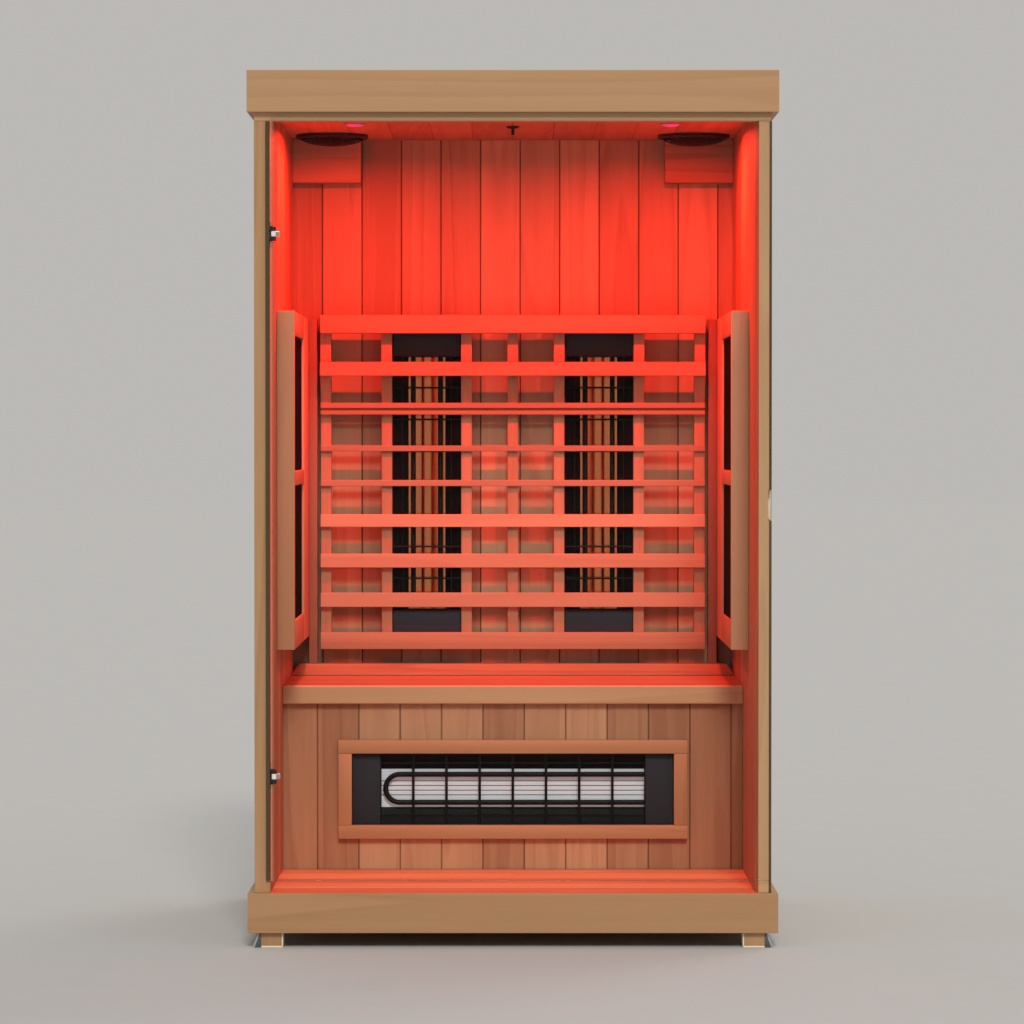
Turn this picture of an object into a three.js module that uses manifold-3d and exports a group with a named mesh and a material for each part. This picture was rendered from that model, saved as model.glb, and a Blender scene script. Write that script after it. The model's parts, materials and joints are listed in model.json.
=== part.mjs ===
// Infrared sauna cabin for two: timber shell, full glass door, bench, backrest and radiant heaters.
// Millimetres, +Z up, +X to the right and +Y to the back of the cabin, seen from the door.
// The origin lies on the floor under the middle of the cabin.
import * as THREE from "three";
import { ConvexGeometry } from "three/addons/geometries/ConvexGeometry.js";
import { mergeVertices } from "three/addons/utils/BufferGeometryUtils.js";
import Module from "manifold-3d";

const wasm = await Module();
wasm.setup();

// Fitting gap between two pieces that meet.
const FIT = 0.3;

// Shell
const CABIN_WIDTH = 1180;
const CABIN_DEPTH = 1000;
const FOOT_HEIGHT = 34;
const PLINTH_HEIGHT = 88;
const ROOM_HEIGHT = 1745;
const CROWN_LAP = 10;
const TRIM_THICKNESS = 14.7;
const WALL_THICKNESS = 35;
const FLOOR_THICKNESS = 20;
const CEILING_THICKNESS = 18;
const COVER_THICKNESS = 12;
const COVER_RECESS = 14;
const HEADER_HEIGHT = 29;
const HEADER_DEPTH = 35;
const BOARD_PITCH = 97.2;
const WALL_JOINT_SHIFT = 18;
const PANEL_JOINT_SHIFT = 27;
const V_JOINT_WIDTH = 4;

// Sides of the round pieces and steps of the curved ones
const WIRE_SIDES = 8;
const PIN_SIDES = 16;
const BARREL_SIDES = 20;
const TURNED_SIDES = 28;
const ROD_QUARTER_SEGMENTS = 6;
const ROD_BEND_STEPS = 12;
const SPEAKER_STEPS = 6;

// Feet
const FOOT_WIDTH = 49;
const FOOT_DEPTH = 60;
const FOOT_INSET = 14;
const FOOT_FLARE_TOP = 5;
const FOOT_FLARE_FLOOR = 20;

// Door, with its hinge axis inside the left wall
const GLASS_THICKNESS = 8;
const GLASS_SWING_CLEARANCE = 0.4;
const GLASS_BOTTOM_GAP = 28;
const GLASS_HEADER_LAP = 8;
const GLASS_HINGE_GAP = 2;
const GLASS_EDGE_INSET = 1;
const HINGE_AXIS_INSET = 9;
const HINGE_BARREL_RADIUS = 5.5;
const HINGE_PIN_RADIUS = 2.5;
const HINGE_MIDDLE_HEIGHT = 12.4;
const HINGE_KNUCKLE_HEIGHT = 9;
const HINGE_TOP_GAP = 258.5;
const HINGE_BOTTOM_GAP = 232;
const LEAF_THICKNESS = 3;
const LEAF_LENGTH = 40;
const LEAF_HEIGHT = 56;
const LEAF_SETBACK = 7;
const CLAMP_LENGTH = 14;
const CLAMP_THICKNESS = 3;
const GLASS_NOTCH_CLEARANCE = 1.5;
const SEAL_WIDTH = 9;
const SEAL_DEPTH = 7;
const SEAL_END_GAP = 1;
const FINGER_NOTCH_HEIGHT = 69;
const FINGER_NOTCH_DEPTH = 8;
const FINGER_NOTCH_LENGTH = 30;
const FINGER_NOTCH_LEVEL = 863;
const CLOSING_CHAMFER_WIDTH = 6.5;
const CLOSING_CHAMFER_LENGTH = 25;

// Bench
const SEAT_HEIGHT = 433;
const SEAT_DEPTH = 450;
const SEAT_THICKNESS = 22;
const SEAT_BOARDS = 5;
const NOSING_HEIGHT = 43;
const NOSING_THICKNESS = 20;
const PANEL_THICKNESS = 18;
const REAR_RAIL_HEIGHT = 27;
const REAR_RAIL_DEPTH = 84;
const REAR_RAIL_LIP = 4;
const REAR_RAIL_FRONT_SLOPE = 40;
const REAR_RAIL_END_SLOPE = 16;

// One radiant heater, used three times
const HEATER_LENGTH = 755;
const HEATER_WIDTH = 168;
const HEATER_DEPTH = 34;
const HEATER_SHEET = 2;
const HEATER_END_PLATE = 66;
const TROUGH_WIDTH = 94;
const TROUGH_SEAT = 6;
const REFLECTOR_WIDTH = 90;
const REFLECTOR_THICKNESS = 2.5;
const CALF_REFLECTOR_FOLDS = 4;
const CALF_FOLD = { pitch: 11, width: 2.4, depth: 1.2 };
const BACK_REFLECTOR_FOLDS = 2;
const BACK_FOLD = { pitch: 24, width: 7, depth: 1.8 };
const ROD_RADIUS = 6;
const ROD_SPACING = 66;
const ROD_LEVEL = 20;
const ROD_BEND_GAP = 4;
const GUARD_WIRES = 7;
const GUARD_WIRE_PITCH = 78;
const CALF_GUARD_WIRE_RADIUS = 3.2;
const BACK_GUARD_WIRE_RADIUS = 2;
const GUARD_LONG_WIRE_RADIUS = 1.5;
const GUARD_LONG_WIRE_SPREAD = 120;
const WIRE_WELD = 0.5;

// Where the heaters sit
const CALF_HEATER_LEVEL = 189;
const SURROUND_BORDER = 32;
const SURROUND_THICKNESS = 18;
const BACK_HEATER_SPREAD = 422;
const BACK_HEATER_LEVEL = 470;

// Backrest, with slat heights above the seat from the top slat down
const BACKREST_SIDE_GAP = 29;
const RIB_WIDTH = 26;
const RIB_DEPTH = 36;
const HEADREST_DEPTH = 58;
const HEADREST_MARGIN = 7;
const RIB_TENON = 3;
const TOP_RAIL = { level: 858, height: 45, thickness: 26 };
const BOTTOM_RAIL = { level: 84, height: 41, thickness: 20 };
const HEAD_SLAT_DROP = 109;
const HEAD_SLAT = { level: TOP_RAIL.level - HEAD_SLAT_DROP, height: 34, thickness: 26, headrest: true };
const BEADED_SLAT = { level: 652, height: 29, thickness: 14, beaded: true };
const UPPER_THIN_SLAT = { level: 555, height: 14, thickness: 9 };
const LOWER_THIN_SLAT = { level: 470, height: 15, thickness: 9 };
const UPPER_BROAD_SLAT = { level: 378, height: 31, thickness: 13 };
const MIDDLE_BROAD_SLAT = { level: 280, height: 34, thickness: 16 };
const LOWER_BROAD_SLAT = { level: 184, height: 35, thickness: 16 };
const BEAD_GROOVE_DROP = 13;
const BEAD_GROOVE_HEIGHT = 6;
const BEAD_GROOVE_DEPTH = 9;

// Heater frames on the side walls
const SIDE_FRAME_THICKNESS = 40;
const SIDE_FRAME_LENGTH = 680;
const SIDE_FRAME_BOTTOM = 95;
const SIDE_FRAME_HEIGHT = 776;
const SIDE_FRAME_POST = 25;
const SIDE_FRAME_REAR_STILE = 267;
const SIDE_FRAME_TOP_RAIL = 55;
const SIDE_FRAME_BOTTOM_RAIL = 65;
const SIDE_FRAME_BATTEN = 34;
const RETURN_POST_WIDTH = 21;
const RETURN_POST_DEPTH = 44;
const CARBON_RECESS = 5;
const CARBON_THICKNESS = 8;

// Fittings under the ceiling
const SPEAKER_RADIUS = 87;
const SPEAKER_DROP = 25;
const SPEAKER_SIDE_GAP = 16;
const SPEAKER_BLOCK_GAP = 18;
const CORNER_BLOCK_WIDTH = 168;
const CORNER_BLOCK_HEIGHT = 107;
const CORNER_BLOCK_DEPTH = 50;
const LIGHT_RADIUS = 20;
const LIGHT_LENS_RADIUS = 15;
const LIGHT_DROP = 7;
const LIGHT_SPREAD = 736;
const LIGHT_DEPTH = 437;
const SENSOR_RADIUS = 15;
const SENSOR_FLANGE = 4;
const SENSOR_STEM_RADIUS = 4;
const SENSOR_DROP = 20;
const SENSOR_DEPTH = 513;

// Services in the roof
const POWER_BOX_WIDTH = 320;
const POWER_BOX_DEPTH = 200;
const POWER_BOX_HEIGHT = 34;
const POWER_BOX_HEADROOM = 4.4;
const INLET_RADIUS = 20;
const INLET_NUT_RADIUS = 13;
const INLET_BORE_RADIUS = 6;
const INLET_FLANGE = 4;
const INLET_HEIGHT = 11;
const INLET_SIDE_GAP = 195;
const INLET_BACK_GAP = 155;

// Levels and faces that the pieces share
const floorTop = FOOT_HEIGHT + PLINTH_HEIGHT;
const ceilingLevel = floorTop + ROOM_HEIGHT;
const crownBottom = ceilingLevel - CROWN_LAP;
const ceilingTop = ceilingLevel + FIT + CEILING_THICKNESS;
const powerBoxTop = ceilingTop + FIT + POWER_BOX_HEIGHT;
const coverTop = powerBoxTop + POWER_BOX_HEADROOM + COVER_THICKNESS;
const crownTop = coverTop + COVER_RECESS;
const trimX = CABIN_WIDTH / 2;
const trimY = CABIN_DEPTH / 2;
const shellX = trimX - TRIM_THICKNESS - FIT;
const shellY = trimY - TRIM_THICKNESS - FIT;
const roomX = shellX - WALL_THICKNESS;
const roomBack = shellY - WALL_THICKNESS;
const headerBottom = ceilingLevel - HEADER_HEIGHT;
const seatTop = floorTop + SEAT_HEIGHT;
const panelFront = roomBack - SEAT_DEPTH;

const FINISHES = {
  timber: { color: 0xb4875c, roughness: 0.6, metalness: 0 },
  lining: { color: 0xad7550, roughness: 0.6, metalness: 0 },
  slat: { color: 0xb88460, roughness: 0.6, metalness: 0 },
  glass: { color: 0xdfeae6, roughness: 0.05, metalness: 0, transparent: true, opacity: 0.2 },
  rubber: { color: 0x2b2a26, roughness: 0.8, metalness: 0 },
  chrome: { color: 0xd5d7da, roughness: 0.15, metalness: 1 },
  darkSteel: { color: 0x2c2a2b, roughness: 0.5, metalness: 0.6 },
  reflector: { color: 0xc4c4c0, roughness: 0.25, metalness: 1 },
  rod: { color: 0x1b1a1c, roughness: 0.45, metalness: 0 },
  carbon: { color: 0x242226, roughness: 0.7, metalness: 0 },
  lens: { color: 0xffb3a8, roughness: 0.2, metalness: 0 },
  grey: { color: 0x8f9499, roughness: 0.5, metalness: 0.4 },
};

const part = new THREE.Group();
part.name = "infrared_sauna_cabin";

// Shape helpers, with the distance within which corners count as one
const MERGE_DISTANCE = 1e-4;

function solid(geometry) {
  const bare = geometry.clone();
  bare.deleteAttribute("normal");
  bare.deleteAttribute("uv");
  const merged = mergeVertices(bare, MERGE_DISTANCE);
  return new wasm.Manifold(
    new wasm.Mesh({
      numProp: 3,
      vertProperties: new Float32Array(merged.attributes.position.array),
      triVerts: new Uint32Array(merged.index.array),
    }),
  );
}

function fromSolid(manifold) {
  const mesh = manifold.getMesh();
  const geometry = new THREE.BufferGeometry();
  geometry.setAttribute("position", new THREE.BufferAttribute(mesh.vertProperties, 3));
  geometry.setIndex(new THREE.BufferAttribute(mesh.triVerts, 1));
  geometry.computeVertexNormals();
  return geometry;
}

function cut(geometry, tools) {
  let result = solid(geometry);
  for (const tool of tools) {
    result = result.subtract(solid(tool));
  }
  return fromSolid(result);
}

function join(geometries) {
  let result = solid(geometries[0]);
  for (const geometry of geometries.slice(1)) {
    result = result.add(solid(geometry));
  }
  return fromSolid(result);
}

// A square block that fills the given span on each axis.
function block(x, y, z) {
  const geometry = new THREE.BoxGeometry(x[1] - x[0], y[1] - y[0], z[1] - z[0]);
  return geometry.translate((x[0] + x[1]) / 2, (y[0] + y[1]) / 2, (z[0] + z[1]) / 2);
}

// A span of the given size around a middle.
function around(middle, size) {
  return [middle - size / 2, middle + size / 2];
}

function outline(points) {
  return new THREE.Shape(points.map(([a, b]) => new THREE.Vector2(a, b)));
}

// A section drawn in Y and Z and drawn out along X.
function alongX(points, x) {
  const geometry = new THREE.ExtrudeGeometry(outline(points), { depth: x[1] - x[0], bevelEnabled: false });
  const turn = new THREE.Matrix4().makeBasis(
    new THREE.Vector3(0, 1, 0),
    new THREE.Vector3(0, 0, 1),
    new THREE.Vector3(1, 0, 0),
  );
  return geometry.applyMatrix4(turn).translate(x[0], 0, 0);
}

// A section drawn in X and Z and drawn out along Y.
function alongY(points, y) {
  const geometry = new THREE.ExtrudeGeometry(outline(points), { depth: y[1] - y[0], bevelEnabled: false });
  return geometry.rotateX(Math.PI / 2).translate(0, y[1], 0);
}

// A section drawn in X and Y and drawn out along Z.
function alongZ(points, z) {
  const geometry = new THREE.ExtrudeGeometry(outline(points), { depth: z[1] - z[0], bevelEnabled: false });
  return geometry.translate(0, 0, z[0]);
}

// A round bar along Z around the given point.
function barZ(radius, x, y, z, sides) {
  const bar = new THREE.CylinderGeometry(radius, radius, z[1] - z[0], sides).rotateX(Math.PI / 2);
  return bar.translate(x, y, (z[0] + z[1]) / 2);
}

// A round bar along X around the given point.
function barX(radius, x, y, z, sides) {
  const bar = new THREE.CylinderGeometry(radius, radius, x[1] - x[0], sides).rotateZ(Math.PI / 2);
  return bar.translate((x[0] + x[1]) / 2, y, z);
}

// A turned shape that stands along Z, from radius and height pairs.
function turned(points, sides) {
  const profile = points.map(([radius, height]) => new THREE.Vector2(radius, height));
  return new THREE.LatheGeometry(profile, sides).rotateX(Math.PI / 2);
}

// A bar on edge along Z, which cuts one V joint half its width deep.
function jointZ(length) {
  const side = V_JOINT_WIDTH / Math.SQRT2;
  return new THREE.BoxGeometry(side, side, length).rotateZ(Math.PI / 4);
}

function jointX(length) {
  const side = V_JOINT_WIDTH / Math.SQRT2;
  return new THREE.BoxGeometry(length, side, side).rotateX(Math.PI / 4);
}

// Places of the board joints between two edges.
function jointPlaces(low, high, shift) {
  const places = [];
  const first = Math.ceil((low + V_JOINT_WIDTH - shift) / BOARD_PITCH);
  const last = Math.floor((high - V_JOINT_WIDTH - shift) / BOARD_PITCH);
  for (let k = first; k <= last; k += 1) {
    places.push(shift + k * BOARD_PITCH);
  }
  return places;
}

// Adds one named piece, with its own origin in its middle.
function piece(group, name, finish, geometry) {
  geometry.computeBoundingBox();
  const middle = geometry.boundingBox.getCenter(new THREE.Vector3());
  geometry.translate(-middle.x, -middle.y, -middle.z);
  const mesh = new THREE.Mesh(geometry, new THREE.MeshStandardMaterial(FINISHES[finish]));
  mesh.name = name;
  mesh.position.copy(middle);
  group.add(mesh);
  return mesh;
}

function subgroup(parent, name, x, y, z) {
  const group = new THREE.Group();
  group.name = name;
  group.position.set(x, y, z);
  parent.add(group);
  return group;
}

// Plinth, floor and feet
const base = subgroup(part, "base", 0, 0, 0);
const plinthZ = [FOOT_HEIGHT, floorTop];
const sideTrimX = [trimX - TRIM_THICKNESS, trimX];
const sideTrimY = [-shellY, shellY];
const endTrimX = [-trimX, trimX];

// Four trim boards round the shell, with the front and rear boards across the ends of the side boards.
function trimRing(group, name, z) {
  const mirrored = [-sideTrimX[1], -sideTrimX[0]];
  piece(group, `${name}_front`, "timber", block(endTrimX, [-trimY, -trimY + TRIM_THICKNESS], z));
  piece(group, `${name}_rear`, "timber", block(endTrimX, [trimY - TRIM_THICKNESS, trimY], z));
  piece(group, `${name}_left`, "timber", block(mirrored, sideTrimY, z));
  piece(group, `${name}_right`, "timber", block(sideTrimX, sideTrimY, z));
}

trimRing(base, "plinth", plinthZ);

const floorZ = [floorTop - FLOOR_THICKNESS, floorTop];
const floorJoints = [];
for (const y of jointPlaces(-shellY, panelFront, 0)) {
  floorJoints.push(jointX(2 * roomX).translate(0, y, floorTop));
}
piece(base, "floor_panel", "lining", cut(block([-shellX, shellX], [-shellY, shellY], floorZ), floorJoints));

for (const side of [-1, 1]) {
  for (const end of [-1, 1]) {
    const outer = shellX - FOOT_INSET;
    const postTop = floorZ[0] - FIT;
    const flareTop = FOOT_HEIGHT - FIT;
    const section = [
      [outer - FOOT_WIDTH, 0],
      [outer + FOOT_FLARE_FLOOR, 0],
      [outer + FOOT_FLARE_TOP, flareTop],
      [outer, flareTop],
      [outer, postTop],
      [outer - FOOT_WIDTH, postTop],
    ];
    const mirrored = side > 0 ? section : section.map(([x, z]) => [-x, z]).reverse();
    const y = end < 0 ? [-shellY, -shellY + FOOT_DEPTH] : [shellY - FOOT_DEPTH, shellY];
    const name = `foot_${end < 0 ? "front" : "rear"}_${side < 0 ? "left" : "right"}`;
    piece(base, name, "timber", alongY(mirrored, y));
  }
}

// Walls and header
const shell = subgroup(part, "shell", 0, 0, 0);
const wallZ = [floorTop + FIT, ceilingLevel];
const wallY = [-shellY, roomBack - FIT];
const headerY = [-shellY, -shellY + HEADER_DEPTH];

// A side wall with board joints inside and outside and a seat for the header at its front top corner.
// The right one also has the finger notch and an eased inner edge where the door closes.
function sideWall(side) {
  const section = [
    [wallY[0], wallZ[0]],
    [wallY[1], wallZ[0]],
    [wallY[1], wallZ[1]],
    [headerY[1] + FIT, wallZ[1]],
    [headerY[1] + FIT, headerBottom - FIT],
    [wallY[0], headerBottom - FIT],
  ];
  const x = side > 0 ? [roomX, shellX] : [-shellX, -roomX];
  const tools = [];
  for (const y of jointPlaces(wallY[0] + WALL_THICKNESS, wallY[1], 0)) {
    for (const face of x) {
      tools.push(jointZ(2 * ROOM_HEIGHT).translate(face, y, wallZ[0]));
    }
  }
  if (side > 0) {
    const notchX = [shellX - FINGER_NOTCH_DEPTH, shellX + FINGER_NOTCH_DEPTH];
    const notchY = [wallY[0] - FINGER_NOTCH_DEPTH, wallY[0] + FINGER_NOTCH_LENGTH];
    tools.push(block(notchX, notchY, around(floorTop + FINGER_NOTCH_LEVEL, FINGER_NOTCH_HEIGHT)));
    const chamfer = [
      [roomX - CLOSING_CHAMFER_WIDTH, wallY[0] - CLOSING_CHAMFER_LENGTH],
      [roomX + 2 * CLOSING_CHAMFER_WIDTH, wallY[0] - CLOSING_CHAMFER_LENGTH],
      [roomX - CLOSING_CHAMFER_WIDTH, wallY[0] + 2 * CLOSING_CHAMFER_LENGTH],
    ];
    tools.push(alongZ(chamfer, [floorTop - FLOOR_THICKNESS, ceilingTop]));
  }
  return cut(alongX(section, x), tools);
}

piece(shell, "left_wall", "lining", sideWall(-1));
piece(shell, "right_wall", "lining", sideWall(1));

const backJoints = [];
for (const x of jointPlaces(-roomX, roomX, WALL_JOINT_SHIFT)) {
  for (const face of [roomBack, shellY]) {
    backJoints.push(jointZ(2 * ROOM_HEIGHT).translate(x, face, wallZ[0]));
  }
}
piece(shell, "back_wall", "lining", cut(block([-shellX, shellX], [roomBack, shellY], wallZ), backJoints));
piece(shell, "front_header", "timber", block([-shellX, shellX], headerY, [headerBottom, ceilingLevel]));

// Ceiling, crown and roof
const roof = subgroup(part, "roof", 0, 0, 0);
const ceilingZ = [ceilingLevel + FIT, ceilingTop];
const coverZ = [coverTop - COVER_THICKNESS, coverTop];
const ceilingJoints = [];
for (const x of jointPlaces(-roomX, roomX, 0)) {
  const joint = jointZ(roomBack - headerY[1]).rotateX(Math.PI / 2);
  ceilingJoints.push(joint.translate(x, (roomBack + headerY[1]) / 2, ceilingZ[0]));
}
const ceilingBoard = block([-shellX, shellX], [-shellY, shellY], ceilingZ);
piece(roof, "ceiling_panel", "lining", cut(ceilingBoard, ceilingJoints));
trimRing(roof, "crown", [crownBottom, crownTop]);
piece(roof, "roof_cover", "timber", block([-shellX, shellX], [-shellY, shellY], coverZ));
const powerBoxZ = [powerBoxTop - POWER_BOX_HEIGHT, powerBoxTop];
piece(roof, "power_box", "grey", block(around(0, POWER_BOX_WIDTH), around(0, POWER_BOX_DEPTH), powerBoxZ));
const inletProfile = [
  [INLET_BORE_RADIUS, 0],
  [INLET_RADIUS, 0],
  [INLET_RADIUS, INLET_FLANGE],
  [INLET_NUT_RADIUS, INLET_FLANGE],
  [INLET_NUT_RADIUS, INLET_HEIGHT],
  [INLET_BORE_RADIUS, INLET_HEIGHT],
  [INLET_BORE_RADIUS, 0],
];
const inlet = subgroup(roof, "inlet", shellX - INLET_SIDE_GAP, shellY - INLET_BACK_GAP, coverTop + FIT);
piece(inlet, "mains_inlet", "rubber", turned(inletProfile, TURNED_SIDES));

// Door on its hinge axis, which stands off so that the glass edge behind it swings clear of the header
const hingeX = -roomX + HINGE_AXIS_INSET;
const glassOverhang = HINGE_AXIS_INSET - GLASS_HINGE_GAP;
const glassSwing = Math.hypot(glassOverhang, GLASS_THICKNESS / 2);
const hingeY = -shellY - glassSwing - GLASS_SWING_CLEARANCE;
const door = subgroup(part, "door", hingeX, hingeY, 0);
const glassZ = [floorTop + GLASS_BOTTOM_GAP, headerBottom + GLASS_HEADER_LAP];
const glassX = [-roomX + GLASS_HINGE_GAP - hingeX, shellX - GLASS_EDGE_INSET - hingeX];
const glassY = around(0, GLASS_THICKNESS);
const hingeLevels = { upper: glassZ[1] - HINGE_TOP_GAP, lower: glassZ[0] + HINGE_BOTTOM_GAP };
const hingeHeight = HINGE_MIDDLE_HEIGHT + 2 * (FIT + HINGE_KNUCKLE_HEIGHT);
const notchEdge = HINGE_BARREL_RADIUS + GLASS_NOTCH_CLEARANCE;
const glassNotches = [];
for (const level of Object.values(hingeLevels)) {
  const notchX = [2 * glassX[0], notchEdge];
  const notchZ = around(level, hingeHeight + 2 * GLASS_NOTCH_CLEARANCE);
  glassNotches.push(block(notchX, [-GLASS_THICKNESS, GLASS_THICKNESS], notchZ));
}
piece(door, "door_glass", "glass", cut(block(glassX, glassY, glassZ), glassNotches));

const sealX = [-roomX - FIT - SEAL_WIDTH, -roomX - FIT];
const sealY = [-shellY - FIT - SEAL_DEPTH, -shellY - FIT];
const sealZ = [glassZ[0], headerBottom - SEAL_END_GAP];
piece(shell, "hinge_seal", "rubber", block(sealX, sealY, sealZ));

// Both halves of one hinge, with the pin fixed in the wall leaf and the glass clamp turning on it.
function hinge(name, level) {
  const group = subgroup(door, `${name}_hinge`, 0, 0, level);
  const middleTop = HINGE_MIDDLE_HEIGHT / 2;
  const knuckleLow = middleTop + FIT;
  const knuckleTop = hingeHeight / 2;
  const wallFace = -HINGE_AXIS_INSET + FIT;
  const plateX = [wallFace, wallFace + LEAF_THICKNESS];
  const plateFront = -shellY - hingeY + LEAF_SETBACK;
  const plateY = [plateFront, plateFront + LEAF_LENGTH];
  const leaf = [
    block(plateX, plateY, around(0, LEAF_HEIGHT)),
    barZ(HINGE_PIN_RADIUS, 0, 0, [-knuckleTop, knuckleTop], PIN_SIDES),
  ];
  for (const z of [[knuckleLow, knuckleTop], [-knuckleTop, -knuckleLow]]) {
    leaf.push(barZ(HINGE_BARREL_RADIUS, 0, 0, z, BARREL_SIDES));
    leaf.push(block([wallFace, 0], [0, plateFront + LEAF_THICKNESS], z));
  }
  piece(group, `${name}_hinge_leaf`, "darkSteel", join(leaf));

  const middleZ = [-middleTop, middleTop];
  const clampY = [GLASS_THICKNESS / 2 + FIT, GLASS_THICKNESS / 2 + FIT + CLAMP_THICKNESS];
  const webX = [0, notchEdge - FIT];
  const clamp = join([
    barZ(HINGE_BARREL_RADIUS, 0, 0, middleZ, BARREL_SIDES),
    block([0, CLAMP_LENGTH], clampY, middleZ),
    block(webX, [0, clampY[1]], middleZ),
  ]);
  const bore = barZ(HINGE_PIN_RADIUS + FIT, 0, 0, [-hingeHeight, hingeHeight], PIN_SIDES);
  piece(group, `${name}_hinge_clamp`, "chrome", cut(clamp, [bore]));
}

for (const [name, level] of Object.entries(hingeLevels)) {
  hinge(name, level);
}

// Bench
const bench = subgroup(part, "bench", 0, panelFront, floorTop);
const benchX = [-roomX + FIT, roomX - FIT];
const seatZ = [SEAT_HEIGHT - SEAT_THICKNESS, SEAT_HEIGHT];
const seatY = [0, SEAT_DEPTH - FIT];
const seatJoints = [];
for (let k = 1; k < SEAT_BOARDS; k += 1) {
  seatJoints.push(jointX(2 * CABIN_WIDTH).translate(0, (k * SEAT_DEPTH) / SEAT_BOARDS, SEAT_HEIGHT));
}
piece(bench, "bench_seat", "lining", cut(block(benchX, seatY, seatZ), seatJoints));
const nosingZ = [SEAT_HEIGHT - NOSING_HEIGHT, SEAT_HEIGHT];
piece(bench, "bench_nosing", "timber", block(benchX, [-NOSING_THICKNESS - FIT, -FIT], nosingZ));

// The rear rail leans back from a low lip at its front and at both ends.
const railBack = SEAT_DEPTH - FIT;
const railBase = SEAT_HEIGHT + FIT;
const railCorners = [];
for (const [level, slope] of [[0, 0], [REAR_RAIL_LIP, 0], [REAR_RAIL_HEIGHT, 1]]) {
  const railX = benchX[1] - slope * REAR_RAIL_END_SLOPE;
  const railFront = railBack - REAR_RAIL_DEPTH + slope * REAR_RAIL_FRONT_SLOPE;
  for (const x of [-railX, railX]) {
    railCorners.push(new THREE.Vector3(x, railFront, railBase + level));
    railCorners.push(new THREE.Vector3(x, railBack, railBase + level));
  }
}
piece(bench, "bench_rear_rail", "lining", new ConvexGeometry(railCorners));

// The front panel has a window that the calf heater fills.
const windowX = around(0, HEATER_LENGTH + 2 * FIT);
const windowZ = around(CALF_HEATER_LEVEL, HEATER_WIDTH + 2 * FIT);
const panelTools = [block(windowX, [-PANEL_THICKNESS, 2 * PANEL_THICKNESS], windowZ)];
for (const x of jointPlaces(benchX[0], benchX[1], PANEL_JOINT_SHIFT)) {
  panelTools.push(jointZ(2 * SEAT_HEIGHT).translate(x, 0, 0));
}
const panelBoard = block(benchX, [0, PANEL_THICKNESS], [FIT, seatZ[0] - FIT]);
piece(bench, "bench_front_panel", "lining", cut(panelBoard, panelTools));
const surroundY = [-FIT - SURROUND_THICKNESS, -FIT];
const surroundBoard = block(
  around(0, HEATER_LENGTH + 2 * SURROUND_BORDER),
  surroundY,
  around(CALF_HEATER_LEVEL, HEATER_WIDTH + 2 * SURROUND_BORDER),
);
const surroundTools = [block(windowX, [2 * surroundY[0], SURROUND_THICKNESS], windowZ)];
piece(bench, "calf_heater_surround", "timber", cut(surroundBoard, surroundTools));

// The bent rod of a heater: one step for each straight leg and the others round the bend.
class BentRod extends THREE.Curve {
  constructor(bendX, endX, spacing, bendSteps) {
    super();
    this.bendX = bendX;
    this.endX = endX;
    this.radius = spacing / 2;
    this.bendSteps = bendSteps;
  }

  getPoint(t, target = new THREE.Vector3()) {
    const step = t * (this.bendSteps + 2);
    const legLength = this.endX - this.bendX;
    if (step <= 1) {
      return target.set(this.endX - step * legLength, 0, this.radius);
    }
    if (step >= this.bendSteps + 1) {
      return target.set(this.bendX + (step - this.bendSteps - 1) * legLength, 0, -this.radius);
    }
    const angle = Math.PI / 2 + (Math.PI * (step - 1)) / this.bendSteps;
    return target.set(this.bendX + this.radius * Math.cos(angle), 0, this.radius * Math.sin(angle));
  }

  getUtoTmapping(u) {
    return u;
  }
}

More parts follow.
